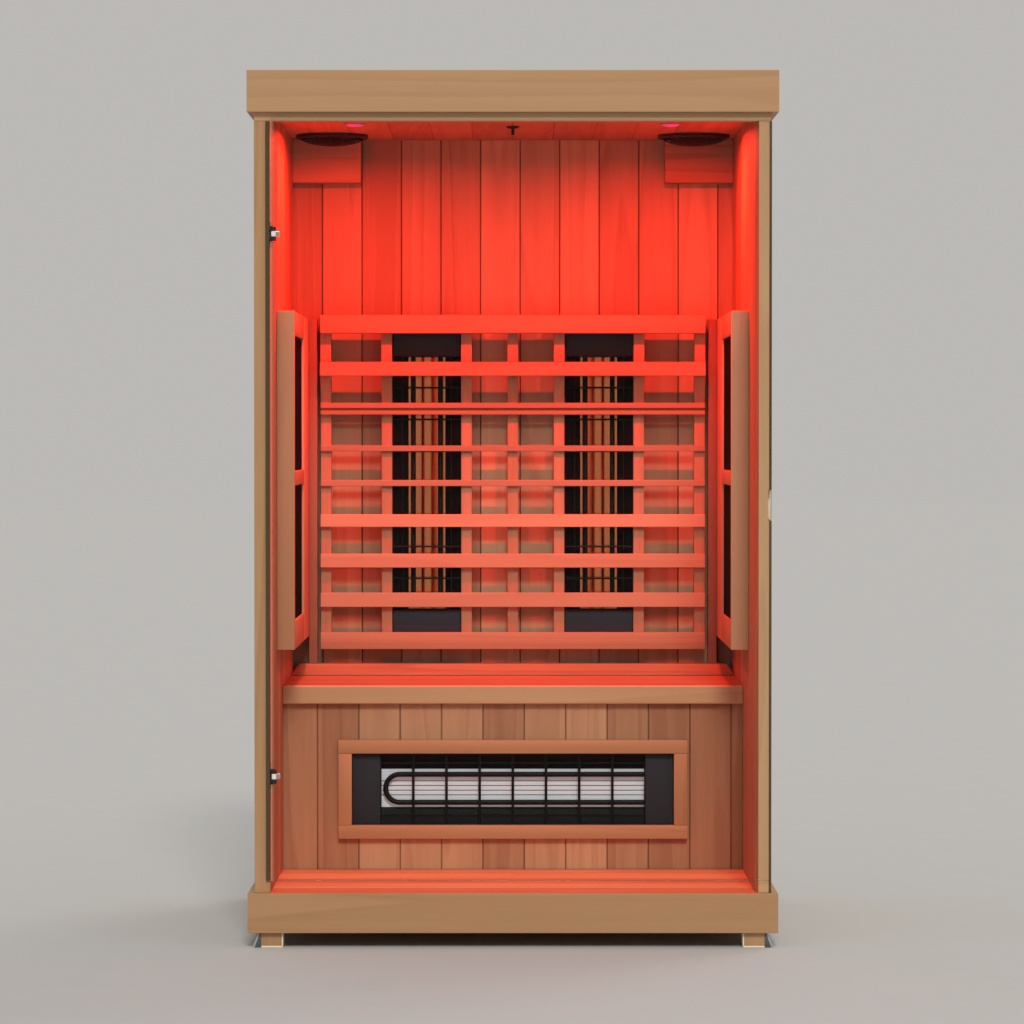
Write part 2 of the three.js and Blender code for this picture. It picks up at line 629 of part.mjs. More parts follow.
// One heater lying along X with its back at Y 0 and its open side to the front.
function heater(parent, name, kind, x, y, z) {
  const { wireRadius, folds, fold } = kind;
  const group = subgroup(parent, `${name}_heater`, x, y, z);
  const endX = HEATER_LENGTH / 2;
  const sideZ = HEATER_WIDTH / 2;
  const troughX = endX - HEATER_END_PLATE;
  const front = [-HEATER_DEPTH, -HEATER_DEPTH + HEATER_SHEET];
  const wireY = front[0] + wireRadius;
  const longWireY = wireY + wireRadius + GUARD_LONG_WIRE_RADIUS - WIRE_WELD;
  const troughFront = [
    [front[0], sideZ],
    [-TROUGH_SEAT, TROUGH_WIDTH / 2],
    [-TROUGH_SEAT, -TROUGH_WIDTH / 2],
    [front[0], -sideZ],
  ];
  const troughBack = troughFront.map(([depth, across]) => [depth + HEATER_SHEET, across]).reverse();
  const housing = [alongX([...troughFront, ...troughBack], [-troughX, troughX])];
  for (const side of [-1, 1]) {
    const rim = side > 0 ? [sideZ - HEATER_SHEET, sideZ] : [-sideZ, -sideZ + HEATER_SHEET];
    const end = side > 0 ? [endX - HEATER_SHEET, endX] : [-endX, -endX + HEATER_SHEET];
    const plate = side > 0 ? [troughX, endX] : [-endX, -troughX];
    const web = side > 0 ? [troughX - HEATER_SHEET, troughX] : [-troughX, -troughX + HEATER_SHEET];
    housing.push(block([-endX, endX], [front[0], 0], rim));
    housing.push(block(end, [front[0], 0], [-sideZ, sideZ]));
    housing.push(block(plate, front, [-sideZ, sideZ]));
    housing.push(block(web, [front[0], -HEATER_SHEET], [-sideZ, sideZ]));
    const longWireZ = (side * GUARD_LONG_WIRE_SPREAD) / 2;
    housing.push(barX(GUARD_LONG_WIRE_RADIUS, [-troughX, troughX], longWireY, longWireZ, WIRE_SIDES));
  }
  const wireZ = [HEATER_SHEET / 2 - sideZ, sideZ - HEATER_SHEET / 2];
  for (let k = 0; k < GUARD_WIRES; k += 1) {
    const wireX = (k - (GUARD_WIRES - 1) / 2) * GUARD_WIRE_PITCH;
    housing.push(barZ(wireRadius, wireX, wireY, wireZ, WIRE_SIDES));
  }
  piece(group, `${name}_heater_housing`, "darkSteel", join(housing));

  const sheetBack = -TROUGH_SEAT - FIT;
  const sheetFront = sheetBack - REFLECTOR_THICKNESS;
  const sheet = [[sheetBack, REFLECTOR_WIDTH / 2], [sheetBack, -REFLECTOR_WIDTH / 2]];
  sheet.push([sheetFront, -REFLECTOR_WIDTH / 2]);
  for (let k = 0; k < folds; k += 1) {
    const place = (k - (folds - 1) / 2) * fold.pitch;
    sheet.push([sheetFront, place - fold.width / 2]);
    sheet.push([sheetFront + fold.depth, place]);
    sheet.push([sheetFront, place + fold.width / 2]);
  }
  sheet.push([sheetFront, REFLECTOR_WIDTH / 2]);
  const innerX = troughX - HEATER_SHEET - FIT;
  piece(group, `${name}_heater_reflector`, "reflector", alongX(sheet, [-innerX, innerX]));

  const bendX = -innerX + ROD_BEND_GAP + ROD_RADIUS + ROD_SPACING / 2;
  const section = new THREE.Shape().absarc(0, 0, ROD_RADIUS, 0, 2 * Math.PI);
  const rod = new THREE.ExtrudeGeometry(section, {
    steps: ROD_BEND_STEPS + 2,
    curveSegments: ROD_QUARTER_SEGMENTS,
    extrudePath: new BentRod(bendX, innerX, ROD_SPACING, ROD_BEND_STEPS),
  });
  piece(group, `${name}_heater_element`, "rod", rod.translate(0, -ROD_LEVEL, 0));
  return group;
}

const calfKind = { wireRadius: CALF_GUARD_WIRE_RADIUS, folds: CALF_REFLECTOR_FOLDS, fold: CALF_FOLD };
const backKind = { wireRadius: BACK_GUARD_WIRE_RADIUS, folds: BACK_REFLECTOR_FOLDS, fold: BACK_FOLD };
heater(bench, "calf", calfKind, 0, HEATER_DEPTH, CALF_HEATER_LEVEL);
for (const [name, side] of [["left_back", -1], ["right_back", 1]]) {
  const spread = (side * BACK_HEATER_SPREAD) / 2;
  const level = seatTop + BACK_HEATER_LEVEL;
  const upright = heater(part, name, backKind, spread, roomBack - FIT, level);
  upright.rotation.y = -Math.PI / 2;
}

// Backrest, seen from the back wall: ribs against the wall and slats across their front
const backrest = subgroup(part, "backrest", 0, roomBack - FIT, seatTop);
const backrestX = roomX - FIT - SIDE_FRAME_THICKNESS - BACKREST_SIDE_GAP;
const slatX = [-backrestX, backrestX];
const headrestBottom = HEAD_SLAT.level - HEAD_SLAT.height / 2 - HEADREST_MARGIN;
const headrestFoot = BEADED_SLAT.level + BEADED_SLAT.height / 2 + HEADREST_MARGIN;
const ribZ = [BOTTOM_RAIL.level - BOTTOM_RAIL.height / 2, TOP_RAIL.level + TOP_RAIL.height / 2];
const ribSection = [
  [0, ribZ[0]],
  [0, ribZ[1]],
  [-HEADREST_DEPTH, ribZ[1]],
  [-HEADREST_DEPTH, headrestBottom],
  [-RIB_DEPTH, headrestFoot],
  [-RIB_DEPTH, ribZ[0]],
];
const ribBeside = HEATER_WIDTH / 2 + RIB_WIDTH / 2 + 2 * FIT;
const ribPlaces = [0];
for (const side of [-1, 1]) {
  ribPlaces.push((side * BACK_HEATER_SPREAD) / 2 - ribBeside);
  ribPlaces.push((side * BACK_HEATER_SPREAD) / 2 + ribBeside);
  ribPlaces.push(side * (backrestX - RIB_WIDTH / 2));
}
const frame = [];
const railPlaces = [[TOP_RAIL, HEADREST_DEPTH], [BOTTOM_RAIL, RIB_DEPTH]];
for (const [rail, depth] of railPlaces) {
  frame.push(block(slatX, [-depth - rail.thickness, -depth], around(rail.level, rail.height)));
}
for (const x of ribPlaces) {
  const ribX = around(x, RIB_WIDTH);
  frame.push(alongX([...ribSection].reverse(), ribX));
  for (const [rail, depth] of railPlaces) {
    frame.push(block(ribX, around(-depth, 2 * RIB_TENON), around(rail.level, rail.height / 2)));
  }
}
piece(backrest, "backrest_frame", "slat", join(frame));
const thinSlats = [UPPER_THIN_SLAT, LOWER_THIN_SLAT];
const broadSlats = [UPPER_BROAD_SLAT, MIDDLE_BROAD_SLAT, LOWER_BROAD_SLAT];
[HEAD_SLAT, BEADED_SLAT, ...thinSlats, ...broadSlats].forEach((slat, index) => {
  const depth = slat.headrest ? HEADREST_DEPTH : RIB_DEPTH;
  const y = [-depth - FIT - slat.thickness, -depth - FIT];
  const z = around(slat.level, slat.height);
  const grooveY = [y[0] - BEAD_GROOVE_DEPTH, y[0] + BEAD_GROOVE_DEPTH];
  const grooveTop = z[1] - BEAD_GROOVE_DROP;
  const groove = block([-trimX, trimX], grooveY, [grooveTop - BEAD_GROOVE_HEIGHT, grooveTop]);
  const board = cut(block(slatX, y, z), slat.beaded ? [groove] : []);
  piece(backrest, `backrest_slat_${index + 1}`, "slat", board);
});

// Heater frames on the side walls, each with one carbon panel behind its two windows.
// A return post on the rear stile stands on the bench rail beside the backrest.
for (const [name, side] of [["left", -1], ["right", 1]]) {
  const group = subgroup(part, `${name}_side_heater`, side * (roomX - FIT), roomBack - FIT, seatTop);
  const frameTop = SIDE_FRAME_BOTTOM + SIDE_FRAME_HEIGHT;
  const inward = (near, far) => (side > 0 ? [-far, -near] : [near, far]);
  const windowY = [-SIDE_FRAME_LENGTH + SIDE_FRAME_POST, -SIDE_FRAME_REAR_STILE];
  const windowZ = [SIDE_FRAME_BOTTOM + SIDE_FRAME_BOTTOM_RAIL, frameTop - SIDE_FRAME_TOP_RAIL];
  const face = SIDE_FRAME_THICKNESS;
  const board = block(inward(0, face), [-SIDE_FRAME_LENGTH, 0], [SIDE_FRAME_BOTTOM, frameTop]);
  const opened = cut(board, [block(inward(-face, 2 * face), windowY, windowZ)]);
  const battenY = [windowY[0] - CARBON_RECESS, windowY[1] + CARBON_RECESS];
  const battenZ = around((windowZ[0] + windowZ[1]) / 2, SIDE_FRAME_BATTEN);
  const batten = block(inward(face - CARBON_RECESS, face), battenY, battenZ);
  const postX = inward(face - CARBON_RECESS, face + RETURN_POST_WIDTH);
  const post = block(postX, [-RETURN_POST_DEPTH, 0], [REAR_RAIL_HEIGHT + 2 * FIT, frameTop]);
  piece(group, `${name}_heater_frame`, "timber", join([opened, batten, post]));
  const carbonBack = face - CARBON_RECESS - FIT - CARBON_THICKNESS;
  const carbonY = [windowY[0] + FIT, windowY[1] - FIT];
  const carbonZ = [windowZ[0] + FIT, windowZ[1] - FIT];
  const carbon = block(inward(carbonBack, carbonBack + CARBON_THICKNESS), carbonY, carbonZ);
  piece(group, `${name}_carbon_panel`, "carbon", carbon);
}

// Fittings that hang under the ceiling, drawn with their mounting face at Z 0
const fittings = subgroup(part, "ceiling_fittings", 0, 0, ceilingLevel);
const speakerProfile = [[0, -SPEAKER_DROP]];
for (let k = 1; k <= SPEAKER_STEPS; k += 1) {
  const angle = (Math.PI * k) / (2 * SPEAKER_STEPS);
  speakerProfile.push([SPEAKER_RADIUS * Math.sin(angle), -FIT - (SPEAKER_DROP - FIT) * Math.cos(angle)]);
}
speakerProfile.push([SPEAKER_RADIUS, 0], [0, 0]);
const lightProfile = [
  [0, -LIGHT_DROP],
  [LIGHT_LENS_RADIUS, -LIGHT_DROP + LIGHT_DROP / 4],
  [LIGHT_RADIUS, -LIGHT_DROP / 2],
  [LIGHT_RADIUS, 0],
  [0, 0],
];
const sensorProfile = [
  [0, -SENSOR_DROP],
  [SENSOR_STEM_RADIUS, -SENSOR_DROP],
  [SENSOR_STEM_RADIUS, -SENSOR_FLANGE],
  [SENSOR_RADIUS, -SENSOR_FLANGE],
  [SENSOR_RADIUS, 0],
  [0, 0],
];
const blockY = [roomBack - FIT - CORNER_BLOCK_DEPTH, roomBack - FIT];
const speakerX = roomX - SPEAKER_SIDE_GAP - SPEAKER_RADIUS;
const speakerY = blockY[0] - SPEAKER_BLOCK_GAP - SPEAKER_RADIUS;
for (const [name, side] of [["left", -1], ["right", 1]]) {
  const speaker = turned(speakerProfile, TURNED_SIDES).translate(side * speakerX, speakerY, 0);
  piece(fittings, `${name}_speaker`, "rubber", speaker);
  const light = turned(lightProfile, TURNED_SIDES);
  light.translate((side * LIGHT_SPREAD) / 2, -shellY + LIGHT_DEPTH, 0);
  piece(fittings, `${name}_ceiling_light`, "lens", light);
  const blockOuter = roomX - FIT;
  const right = [blockOuter - CORNER_BLOCK_WIDTH, blockOuter];
  const blockX = side > 0 ? right : [-right[1], -right[0]];
  piece(fittings, `${name}_corner_block`, "lining", block(blockX, blockY, [-CORNER_BLOCK_HEIGHT, 0]));
}
const sensor = turned(sensorProfile, BARREL_SIDES).translate(0, -shellY + SENSOR_DEPTH, 0);
piece(fittings, "temperature_sensor", "rubber", sensor);

export default part;
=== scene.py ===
import json
import math

import bmesh
import bpy
from mathutils import Matrix, Vector


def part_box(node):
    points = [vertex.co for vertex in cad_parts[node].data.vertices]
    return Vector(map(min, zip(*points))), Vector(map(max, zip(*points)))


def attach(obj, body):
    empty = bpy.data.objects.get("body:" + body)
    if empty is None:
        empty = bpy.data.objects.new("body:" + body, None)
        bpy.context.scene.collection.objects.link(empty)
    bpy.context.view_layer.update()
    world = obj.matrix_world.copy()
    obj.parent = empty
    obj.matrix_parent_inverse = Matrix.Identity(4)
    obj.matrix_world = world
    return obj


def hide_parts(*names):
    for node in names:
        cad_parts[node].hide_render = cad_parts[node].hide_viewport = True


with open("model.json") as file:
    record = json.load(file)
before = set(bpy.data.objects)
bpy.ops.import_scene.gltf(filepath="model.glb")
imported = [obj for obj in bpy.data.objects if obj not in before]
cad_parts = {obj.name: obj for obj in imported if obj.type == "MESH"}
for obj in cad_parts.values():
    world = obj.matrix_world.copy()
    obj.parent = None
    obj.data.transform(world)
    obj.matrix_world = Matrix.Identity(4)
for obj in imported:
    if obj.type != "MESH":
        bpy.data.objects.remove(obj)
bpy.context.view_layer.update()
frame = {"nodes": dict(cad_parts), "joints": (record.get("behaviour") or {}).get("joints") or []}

# Lengths are in metres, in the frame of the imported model.
X, Y, Z = 0, 1, 2
SIDES = (("left", -1), ("right", 1))

# Camera at the photograph's viewing angle
CAMERA_PLACE = Vector((-0.002, -9.19, 1.129))
CAMERA_LENS = 137.7
CAMERA_TILT = math.radians(1.044)
CAMERA_REACH = 200.0

# Studio
WORLD_COLOUR = (1.0, 0.97, 0.93, 1)
WORLD_STRENGTH = 0.5
FLOOR_REACH = 60.0
FLOOR_COLOUR = (0.565, 0.57, 0.575)
KEY_DIRECTION = Vector((0.7, -8.8, 6.7))
KEY_STRENGTH = 1.65
SUN_COLOUR = (1.0, 0.95, 0.88)
KEY_SOFTNESS = math.radians(14)
RIM_DIRECTION = Vector((6.0, 7.0, 5.0))
RIM_STRENGTH = 0.5
RIM_SOFTNESS = math.radians(30)

# Coloured light of the cabin
LED_COLOUR = (1.0, 0.035, 0.02)
LED_POWER = 14.8
LED_DIAMETER = 0.03
LED_SPREAD = math.radians(172)
LED_DROP = 0.002

# Board edges and joints
FIT = 0.0003
FINE_EDGE = 0.0005
EDGE = 0.0012
SOFT_EDGE = 0.003
EDGE_ANGLE = math.radians(40)
SMOOTH_ANGLE = math.radians(38)
WELD_REACH = 0.00002
ROUNDING_SHARE = 0.4
SEAT_BOARDS = 5
JOINT_CORE = 0.0009
JOINT_REACH = 0.0024

# Rows of boards: the axis across them, their pitch and the place of one joint
BOARD_PITCH = 0.0972
SIDE_BOARDS = (Y, BOARD_PITCH, 0.0)
BACK_BOARDS = (X, BOARD_PITCH, 0.018)
PANEL_BOARDS = (X, BOARD_PITCH, 0.027)
CEILING_BOARDS = (X, BOARD_PITCH, 0.0)
FLOOR_BOARDS = (Y, BOARD_PITCH, 0.0)

# Timber colours, from pale early wood to deep late wood
SHELL_TONES = ((0.52, 0.325, 0.17, 1), (0.36, 0.195, 0.088, 1))
LINING_TONES = ((0.53, 0.285, 0.16, 1), (0.30, 0.13, 0.066, 1))
BACK_TONES = ((0.53, 0.365, 0.215, 1), (0.30, 0.168, 0.09, 1))
FLOOR_TONES = ((0.69, 0.40, 0.192, 1), (0.39, 0.182, 0.08, 1))
SEAT_TONES = ((0.61, 0.277, 0.15, 1), (0.345, 0.126, 0.062, 1))
NOSING_TONES = ((0.60, 0.375, 0.197, 1), (0.415, 0.225, 0.102, 1))
PANEL_TONES = ((0.60, 0.34, 0.185, 1), (0.345, 0.155, 0.074, 1))
SLAT_TONES = ((0.54, 0.30, 0.18, 1), (0.40, 0.19, 0.105, 1))
SURROUND_TONES = ((0.52, 0.275, 0.13, 1), (0.38, 0.17, 0.072, 1))
POST_TONES = ((0.64, 0.355, 0.195, 1), (0.48, 0.235, 0.115, 1))
# Timber of the side frame's return, darker as painted shade
SHADED_RETURN_TONES = ((0.30, 0.15, 0.095, 1), (0.22, 0.095, 0.055, 1))
# Timber of the side frame's rear stile, paler as painted light where the ceiling lamps graze it
LIT_STILE_TONES = ((0.66, 0.38, 0.24, 1), (0.50, 0.25, 0.145, 1))
HEADER_TONES = ((0.60, 0.385, 0.215, 1), (0.44, 0.25, 0.12, 1))
OUTER_TONES = ((0.565, 0.345, 0.175, 1), (0.39, 0.205, 0.09, 1))
RIGHT_OUTER_TONES = ((0.69, 0.445, 0.245, 1), (0.50, 0.285, 0.138, 1))
# Near-black timber for the painted shade along the right wall's outer edge
EDGE_SHADE_TONES = ((0.16, 0.085, 0.035, 1), (0.09, 0.045, 0.018, 1))

# Share of the slat colour on each backrest slat, from the top down, a mild painted light and shade that
# follows how the light fell on each row
SLAT_PAINTED_LIGHT = (1.0, 0.92, 0.75, 0.88, 1.12, 1.15, 0.95)

# How the grain is drawn: stretched along the board, with growth rings, streaks and fine fibres
GRAIN_STRETCH = 0.045
RING_SCALE = 6.5
RING_LINES = 10.0
STREAK_SCALE = 34.0
FIBRE_SCALE = 330.0
BLOTCH_SCALE = 2.2
BOARD_OFFSET = (11.0, 13.0, 17.0)
OBJECT_SPREAD = 613.0
WARM_TINT = (1.0, 0.82, 0.74, 1)
RING_SHARE = 0.28
STREAK_SHARE = 0.52
FIBRE_SHARE = 0.32
BLOTCH_SHARE = 0.16
RING_PROFILE = ((0.0, 0.0), (0.62, 0.45), (0.9, 1.0), (1.0, 0.0))

# Gloss and relief of the finishes
WOOD_GLOSS = (0.45, 0.65)
WOOD_RELIEF = 0.22
WOOD_RELIEF_DEPTH = 0.0006
RING_RELIEF = 0.5
MOTTLE_GLOSS = (0.85, 1.2)
MOTTLE_DEPTH = 0.0003
BRUSH_STRETCH = 0.01
BRUSH_SCALE = 900.0
BRUSH_GLOSS = (0.7, 1.4)
BRUSH_RELIEF = 0.08
BRUSH_DEPTH = 0.0002
# Painted shade on the folded faces of the reflectors: how dark they get, and over what turn of the face
FOLD_SHADE = 0.3
FOLD_TURN = (0.75, 0.95)
WEAVE_PITCH = 0.004
WEAVE_GLOSS = (0.6, 0.8)
WEAVE_RELIEF = 0.3
WEAVE_DEPTH = 0.0004
CLOUD_SCALE = 18.0
LENS_CELLS = 160.0
LENS_RELIEF = 0.3
LENS_DEPTH = 0.0005

# Heater, drawn lying along X with its back at Y 0
SHEET = 0.002
END_PLATE = 0.066
TROUGH_WIDTH = 0.094
TROUGH_SEAT = 0.006
REFLECTOR_WIDTH = 0.090
REFLECTOR_THICKNESS = 0.0025
ROD_RADIUS = 0.006
ROD_SPACING = 0.066
ROD_LEVEL = 0.020
ROD_BEND_GAP = 0.004
ROD_BEND_STEPS = 32
WIRE_COUNT = 7
WIRE_PITCH = 0.078
LONG_WIRE_RADIUS = 0.0015
LONG_WIRE_SPREAD = 0.120
WIRE_WELD = 0.0005
PLATE_SCREW_RADIUS = 0.003
PLATE_SCREW_INSET_X = 0.012
PLATE_SCREW_INSET_Z = 0.014
CALF_KIND = {"wire": 0.0032, "folds": 4, "pitch": 0.011, "width": 0.0024, "depth": 0.0012}
BACK_KIND = {"wire": 0.002, "folds": 2, "pitch": 0.024, "width": 0.007, "depth": 0.0018}

# Heater frames on the side walls
POST_WIDTH = 0.025
REAR_STILE_WIDTH = 0.267
TOP_RAIL_HEIGHT = 0.055
BOTTOM_RAIL_HEIGHT = 0.065
BATTEN_HEIGHT = 0.034
BATTEN_DEPTH = 0.005
FRAME_THICKNESS = 0.040
FRAME_HEIGHT = 0.776
RETURN_DEPTH = 0.044

# Backrest frame
RIB_WIDTH = 0.026
RIB_DEPTH = 0.036
HEADREST_DEPTH = 0.058
HEADREST_MARGIN = 0.007
BACK_TOP_RAIL = 0.045
BACK_BOTTOM_RAIL = 0.041
BACK_BOTTOM_THICKNESS = 0.020

# Hinges
LEAF_THICKNESS = 0.003
LEAF_LENGTH = 0.040
KNUCKLE_TOP = 0.0155
CLAMP_THICKNESS = 0.003
CLAMP_WEB = 0.0067
KNUCKLE_EDGE = 0.0008
BARREL_EDGE = 0.0012
LEAF_SCREW_LEVEL = 0.018
LEAF_SCREW_REACH = 0.024
CLAMP_SCREW_INSET = 0.005
CLAMP_SCREW_RADIUS = 0.0028

# Screw head: its dome in shares of radius and height, and the cross on it
SCREW_DOME = ((0, 1), (0.55, 0.95), (0.85, 0.6), (1, 0), (0, 0))
SCREW_CROSS_REACH = 0.6
SCREW_CROSS_WIDTH = 0.25
SCREW_CROSS_HEIGHT = 0.12

# Feet
FLARE_TOP = 0.005
FLARE_FLOOR = 0.020
FLARE_FACE = 0.006
FOOT_WIDTH = 0.049
GLIDE_HEIGHT = 0.004
GLIDE_RIM = 0.003

# Ceiling fittings and roof gland
RIM_SIDE = 0.006
RIM_ROUND = 0.009
RIM_LIP = 0.0095
RIM_ROUND_SHARE = 0.96
RIM_SEAT_SHARE = 0.86
GRILLE_SHARE = 0.88
GRILLE_DOME = 0.85
GRILLE_RINGS = 8
GRILLE_RING_HALF = 0.0022
GRILLE_RING_FACE = 0.0012
GRILLE_RING_BACK = 0.002
GRILLE_SPOKES = 12
SPOKE_RADIUS = 0.0013
SPOKE_LIFT = 0.001
SPOKE_START = 0.06
SPOKE_STEPS = 8
HUB_RADIUS = 0.012
HUB_FACE_RADIUS = 0.010
HUB_EDGE = 0.0008
HUB_SIDE = 0.003
HUB_DEPTH = 0.004
CONE_CAP_RADIUS = 0.022
CONE_NECK_RADIUS = 0.026
CONE_TIP_SHARE = 0.45
CONE_CAP_SHARE = 0.5
CONE_NECK_SHARE = 0.3
CONE_RIM_SHARE = 0.87
CONE_RIM_DROP = 0.003
BEZEL_WIDTH = 0.006
BEZEL_EDGE = 0.001
BEZEL_SIDE = 0.002
BEZEL_LIP_SHARE = 0.4
SENSOR_STEM = 0.004
SENSOR_TIP_SHARE = 0.7
SENSOR_WAIST_SHARE = 0.75
SENSOR_TIP = 0.001
SENSOR_SLOTS = 4
SLOT_START = 0.003
SLOT_PITCH = 0.0032
SLOT_EDGE = 0.0004
SLOT_HEIGHT = 0.0016
SENSOR_BASE = 0.002
SENSOR_BASE_FOOT = 0.004
SENSOR_FOOT_SHARE = 0.8
GLAND_BORE = 0.006
GLAND_FLANGE = 0.004
GLAND_FLANGE_EDGE = 0.001
GLAND_NUT = 0.0142
GLAND_NUT_TOP = 0.013
GLAND_NUT_EDGE = 0.0008
GLAND_NECK = 0.0022
GLAND_CAP_FOOT = 0.0115
GLAND_CAP_TOP = 0.0105
GLAND_CAP_EDGE = 0.0005
GLAND_LIP = 0.001

# Right wall end: a dark strip of painted shade along its outer edge, and the finger notch
STRIP_WIDTH = 0.0055
STRIP_DEPTH = 0.0008
NOTCH_DEPTH = 0.008
NOTCH_LENGTH = 0.030
NOTCH_LEVEL = (0.9505, 1.0195)
NOTCH_SLOPE = 0.006
# Pale liner that paints a highlight at the back of the finger notch: its thickness and edge
LINER = 0.0005
LINER_EDGE = 0.0001

# Glass
GLASS_RIM = 0.0014
HINGE_HIGHLIGHT_WIDTH = 0.010
GLASS_COLOUR = (0.02, 0.035, 0.03, 1)
GLASS_DENSITY = 0.03
GLASS_SHEEN = 0.5
GLASS_SHEEN_POWER = 4.0
GLASS_GLOSS = (0.02, 0.06)
GLASS_SMEAR_SCALE = 5.0
GLASS_CUT_COLOUR = (0.12, 0.13, 0.075, 1)
GLASS_CUT_SHARE = 0.4
GLASS_END_SHARE = 0.45
# Painted highlight along the glass's hinge-side edge: its colour and how opaque it is
GLASS_HIGHLIGHT_COLOUR = (0.78, 0.31, 0.17, 1)
GLASS_HIGHLIGHT_SHARE = 0.55


class Surface:
    """One procedural material, with short calls that add nodes and link them."""

    def __init__(self, name, roughness, metallic=0.0, specular=0.5):
        self.material = bpy.data.materials.new(name)
        self.material.use_nodes = True
        self.tree = self.material.node_tree
        self.shader = self.tree.nodes["Principled BSDF"]
        self.set(Roughness=roughness, Metallic=metallic, Specular_IOR_Level=specular)

    def put(self, socket, value):
        if isinstance(value, bpy.types.NodeSocket):
            self.tree.links.new(value, socket)
        else:
            socket.default_value = value

    def node(self, kind, inputs=None, **settings):
        made = self.tree.nodes.new(kind)
        for key, value in settings.items():
            setattr(made, key, value)
        for key, value in (inputs or {}).items():
            self.put(made.inputs[key], value)
        return made

    def set(self, **inputs):
        for key, value in inputs.items():
            self.put(self.shader.inputs[key.replace("_", " ")], value)

    def place(self):
        return self.node("ShaderNodeTexCoord").outputs["Object"]

    def axes(self, vector):
        return self.node("ShaderNodeSeparateXYZ", {0: vector}).outputs

    def math(self, operation, first, second=0.0):
        return self.node("ShaderNodeMath", {0: first, 1: second}, operation=operation).outputs[0]

    def vector(self, operation, first, second):
        return self.node("ShaderNodeVectorMath", {0: first, 1: second}, operation=operation).outputs[0]

    def noise(self, place, scale, detail=2.0, roughness=0.5, distortion=0.0):
        values = {"Scale": scale, "Detail": detail, "Roughness": roughness, "Distortion": distortion}
        return self.node("ShaderNodeTexNoise", {"Vector": place, **values}).outputs[0]

    def ramp(self, value, stops):
        made = self.node("ShaderNodeValToRGB", {0: value})
        points = made.color_ramp.elements
        while len(points) < len(stops):
            points.new(0.5)
        for point, (at, level) in zip(points, stops):
            point.position = at
            point.color = (level, level, level, 1)
        return made.outputs[0]

    def span(self, value, low, high, start=0.0, end=1.0):
        return self.node("ShaderNodeMapRange", {0: value, 1: start, 2: end, 3: low, 4: high}).outputs[0]

    def mix(self, factor, first, second, blend="MIX"):
        inputs = {0: factor, 6: first, 7: second}
        return self.node("ShaderNodeMix", inputs, data_type="RGBA", blend_type=blend).outputs[2]

    def bump(self, height, strength, distance):
        values = {"Height": height, "Strength": strength, "Distance": distance}
        self.set(Normal=self.node("ShaderNodeBump", values).outputs[0])


# Materials


def outside(s, place):
    """A mask that is 1 on the faces that the cabin turns to the room around it."""
    low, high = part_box("back_wall")
    axes = s.axes(place)
    beyond_x = s.math("GREATER_THAN", s.math("ABSOLUTE", axes[X]), high.x - FINE_EDGE)
    beyond_y = s.math("GREATER_THAN", s.math("ABSOLUTE", axes[Y]), high.y - FINE_EDGE)
    return s.math("MAXIMUM", beyond_x, beyond_y)


def grain_layers(s, place, board, grain):
    """The growth rings, streaks, fibres and blotches of timber with its grain along one axis."""
    stretch = [1.0, 1.0, 1.0]
    stretch[grain] = GRAIN_STRETCH
    drawn = s.vector("MULTIPLY", place, stretch)
    moved = s.vector("ADD", drawn, s.vector("MULTIPLY", board, BOARD_OFFSET))
    slow = s.noise(moved, RING_SCALE, detail=2.0, roughness=0.45, distortion=0.35)
    rings = s.math("FRACT", s.math("MULTIPLY", slow, RING_LINES))
    ring = s.ramp(rings, RING_PROFILE)
    streak = s.noise(moved, STREAK_SCALE, detail=3.0, roughness=0.6)
    fibre = s.noise(moved, FIBRE_SCALE, detail=3.0, roughness=0.6)
    blotch = s.noise(place, BLOTCH_SCALE, detail=2.0)
    return ring, streak, fibre, blotch


def joint_shade(s, steps, pitch, joint):
    """A shade that is 1 on each board and falls to a share at its joints."""
    inside = s.math("ABSOLUTE", s.math("SUBTRACT", s.math("FRACT", s.math("ADD", steps, 0.5)), 0.5))
    return s.span(s.math("MULTIPLY", inside, pitch), joint, 1.0, JOINT_CORE, JOINT_REACH)


def wood(name, timber, grain, boards=None, swing=0.28, contrast=1.0, joint=0.25, outer=None):
    """Timber with its grain along one axis.

    Boards gives the axis, pitch and shift of a row of boards, and joint how dark their joints are.
    Outer gives the tones of the faces outside the cabin.
    """
    s = Surface(name, roughness=0.55, specular=0.35)
    place = s.place()
    random = s.node("ShaderNodeObjectInfo").outputs["Random"]
    number = s.math("MULTIPLY", random, OBJECT_SPREAD)
    if boards:
        axis, pitch, shift = boards
        steps = s.math("DIVIDE", s.math("SUBTRACT", s.axes(place)[axis], shift), pitch)
        number = s.math("ADD", s.math("FLOOR", number), s.math("FLOOR", steps))
    board = s.node("ShaderNodeTexWhiteNoise", {"W": number}, noise_dimensions="1D").outputs["Color"]
    chance = s.node("ShaderNodeSeparateColor", {0: board}).outputs
    ring, streak, fibre, blotch = grain_layers(s, place, board, grain)
    depth = s.span(chance[0], -swing, swing)
    layers = ((ring, RING_SHARE), (streak, STREAK_SHARE), (fibre, FIBRE_SHARE), (blotch, BLOTCH_SHARE))
    for layer, share in layers:
        depth = s.math("ADD", depth, s.math("MULTIPLY", layer, share * contrast))
    depth = s.node("ShaderNodeClamp", {0: depth}).outputs[0]
    colour = s.mix(depth, *timber)
    colour = s.mix(s.math("MULTIPLY", chance[1], swing), colour, WARM_TINT, "MULTIPLY")
    if boards:
        colour = s.mix(1.0, colour, joint_shade(s, steps, pitch, joint), "MULTIPLY")
    if outer:
        colour = s.mix(outside(s, place), colour, s.mix(depth, *outer))
    s.set(Base_Color=colour)
    s.set(Roughness=s.span(fibre, *WOOD_GLOSS))
    relief = s.math("ADD", fibre, s.math("MULTIPLY", ring, RING_RELIEF))
    s.bump(relief, WOOD_RELIEF, WOOD_RELIEF_DEPTH)
    return s.material


def tones(colour, deep):
    """A colour and a deeper tone that keeps a share of it."""
    return [(*[channel * share for channel in colour], 1) for share in (1.0, deep)]


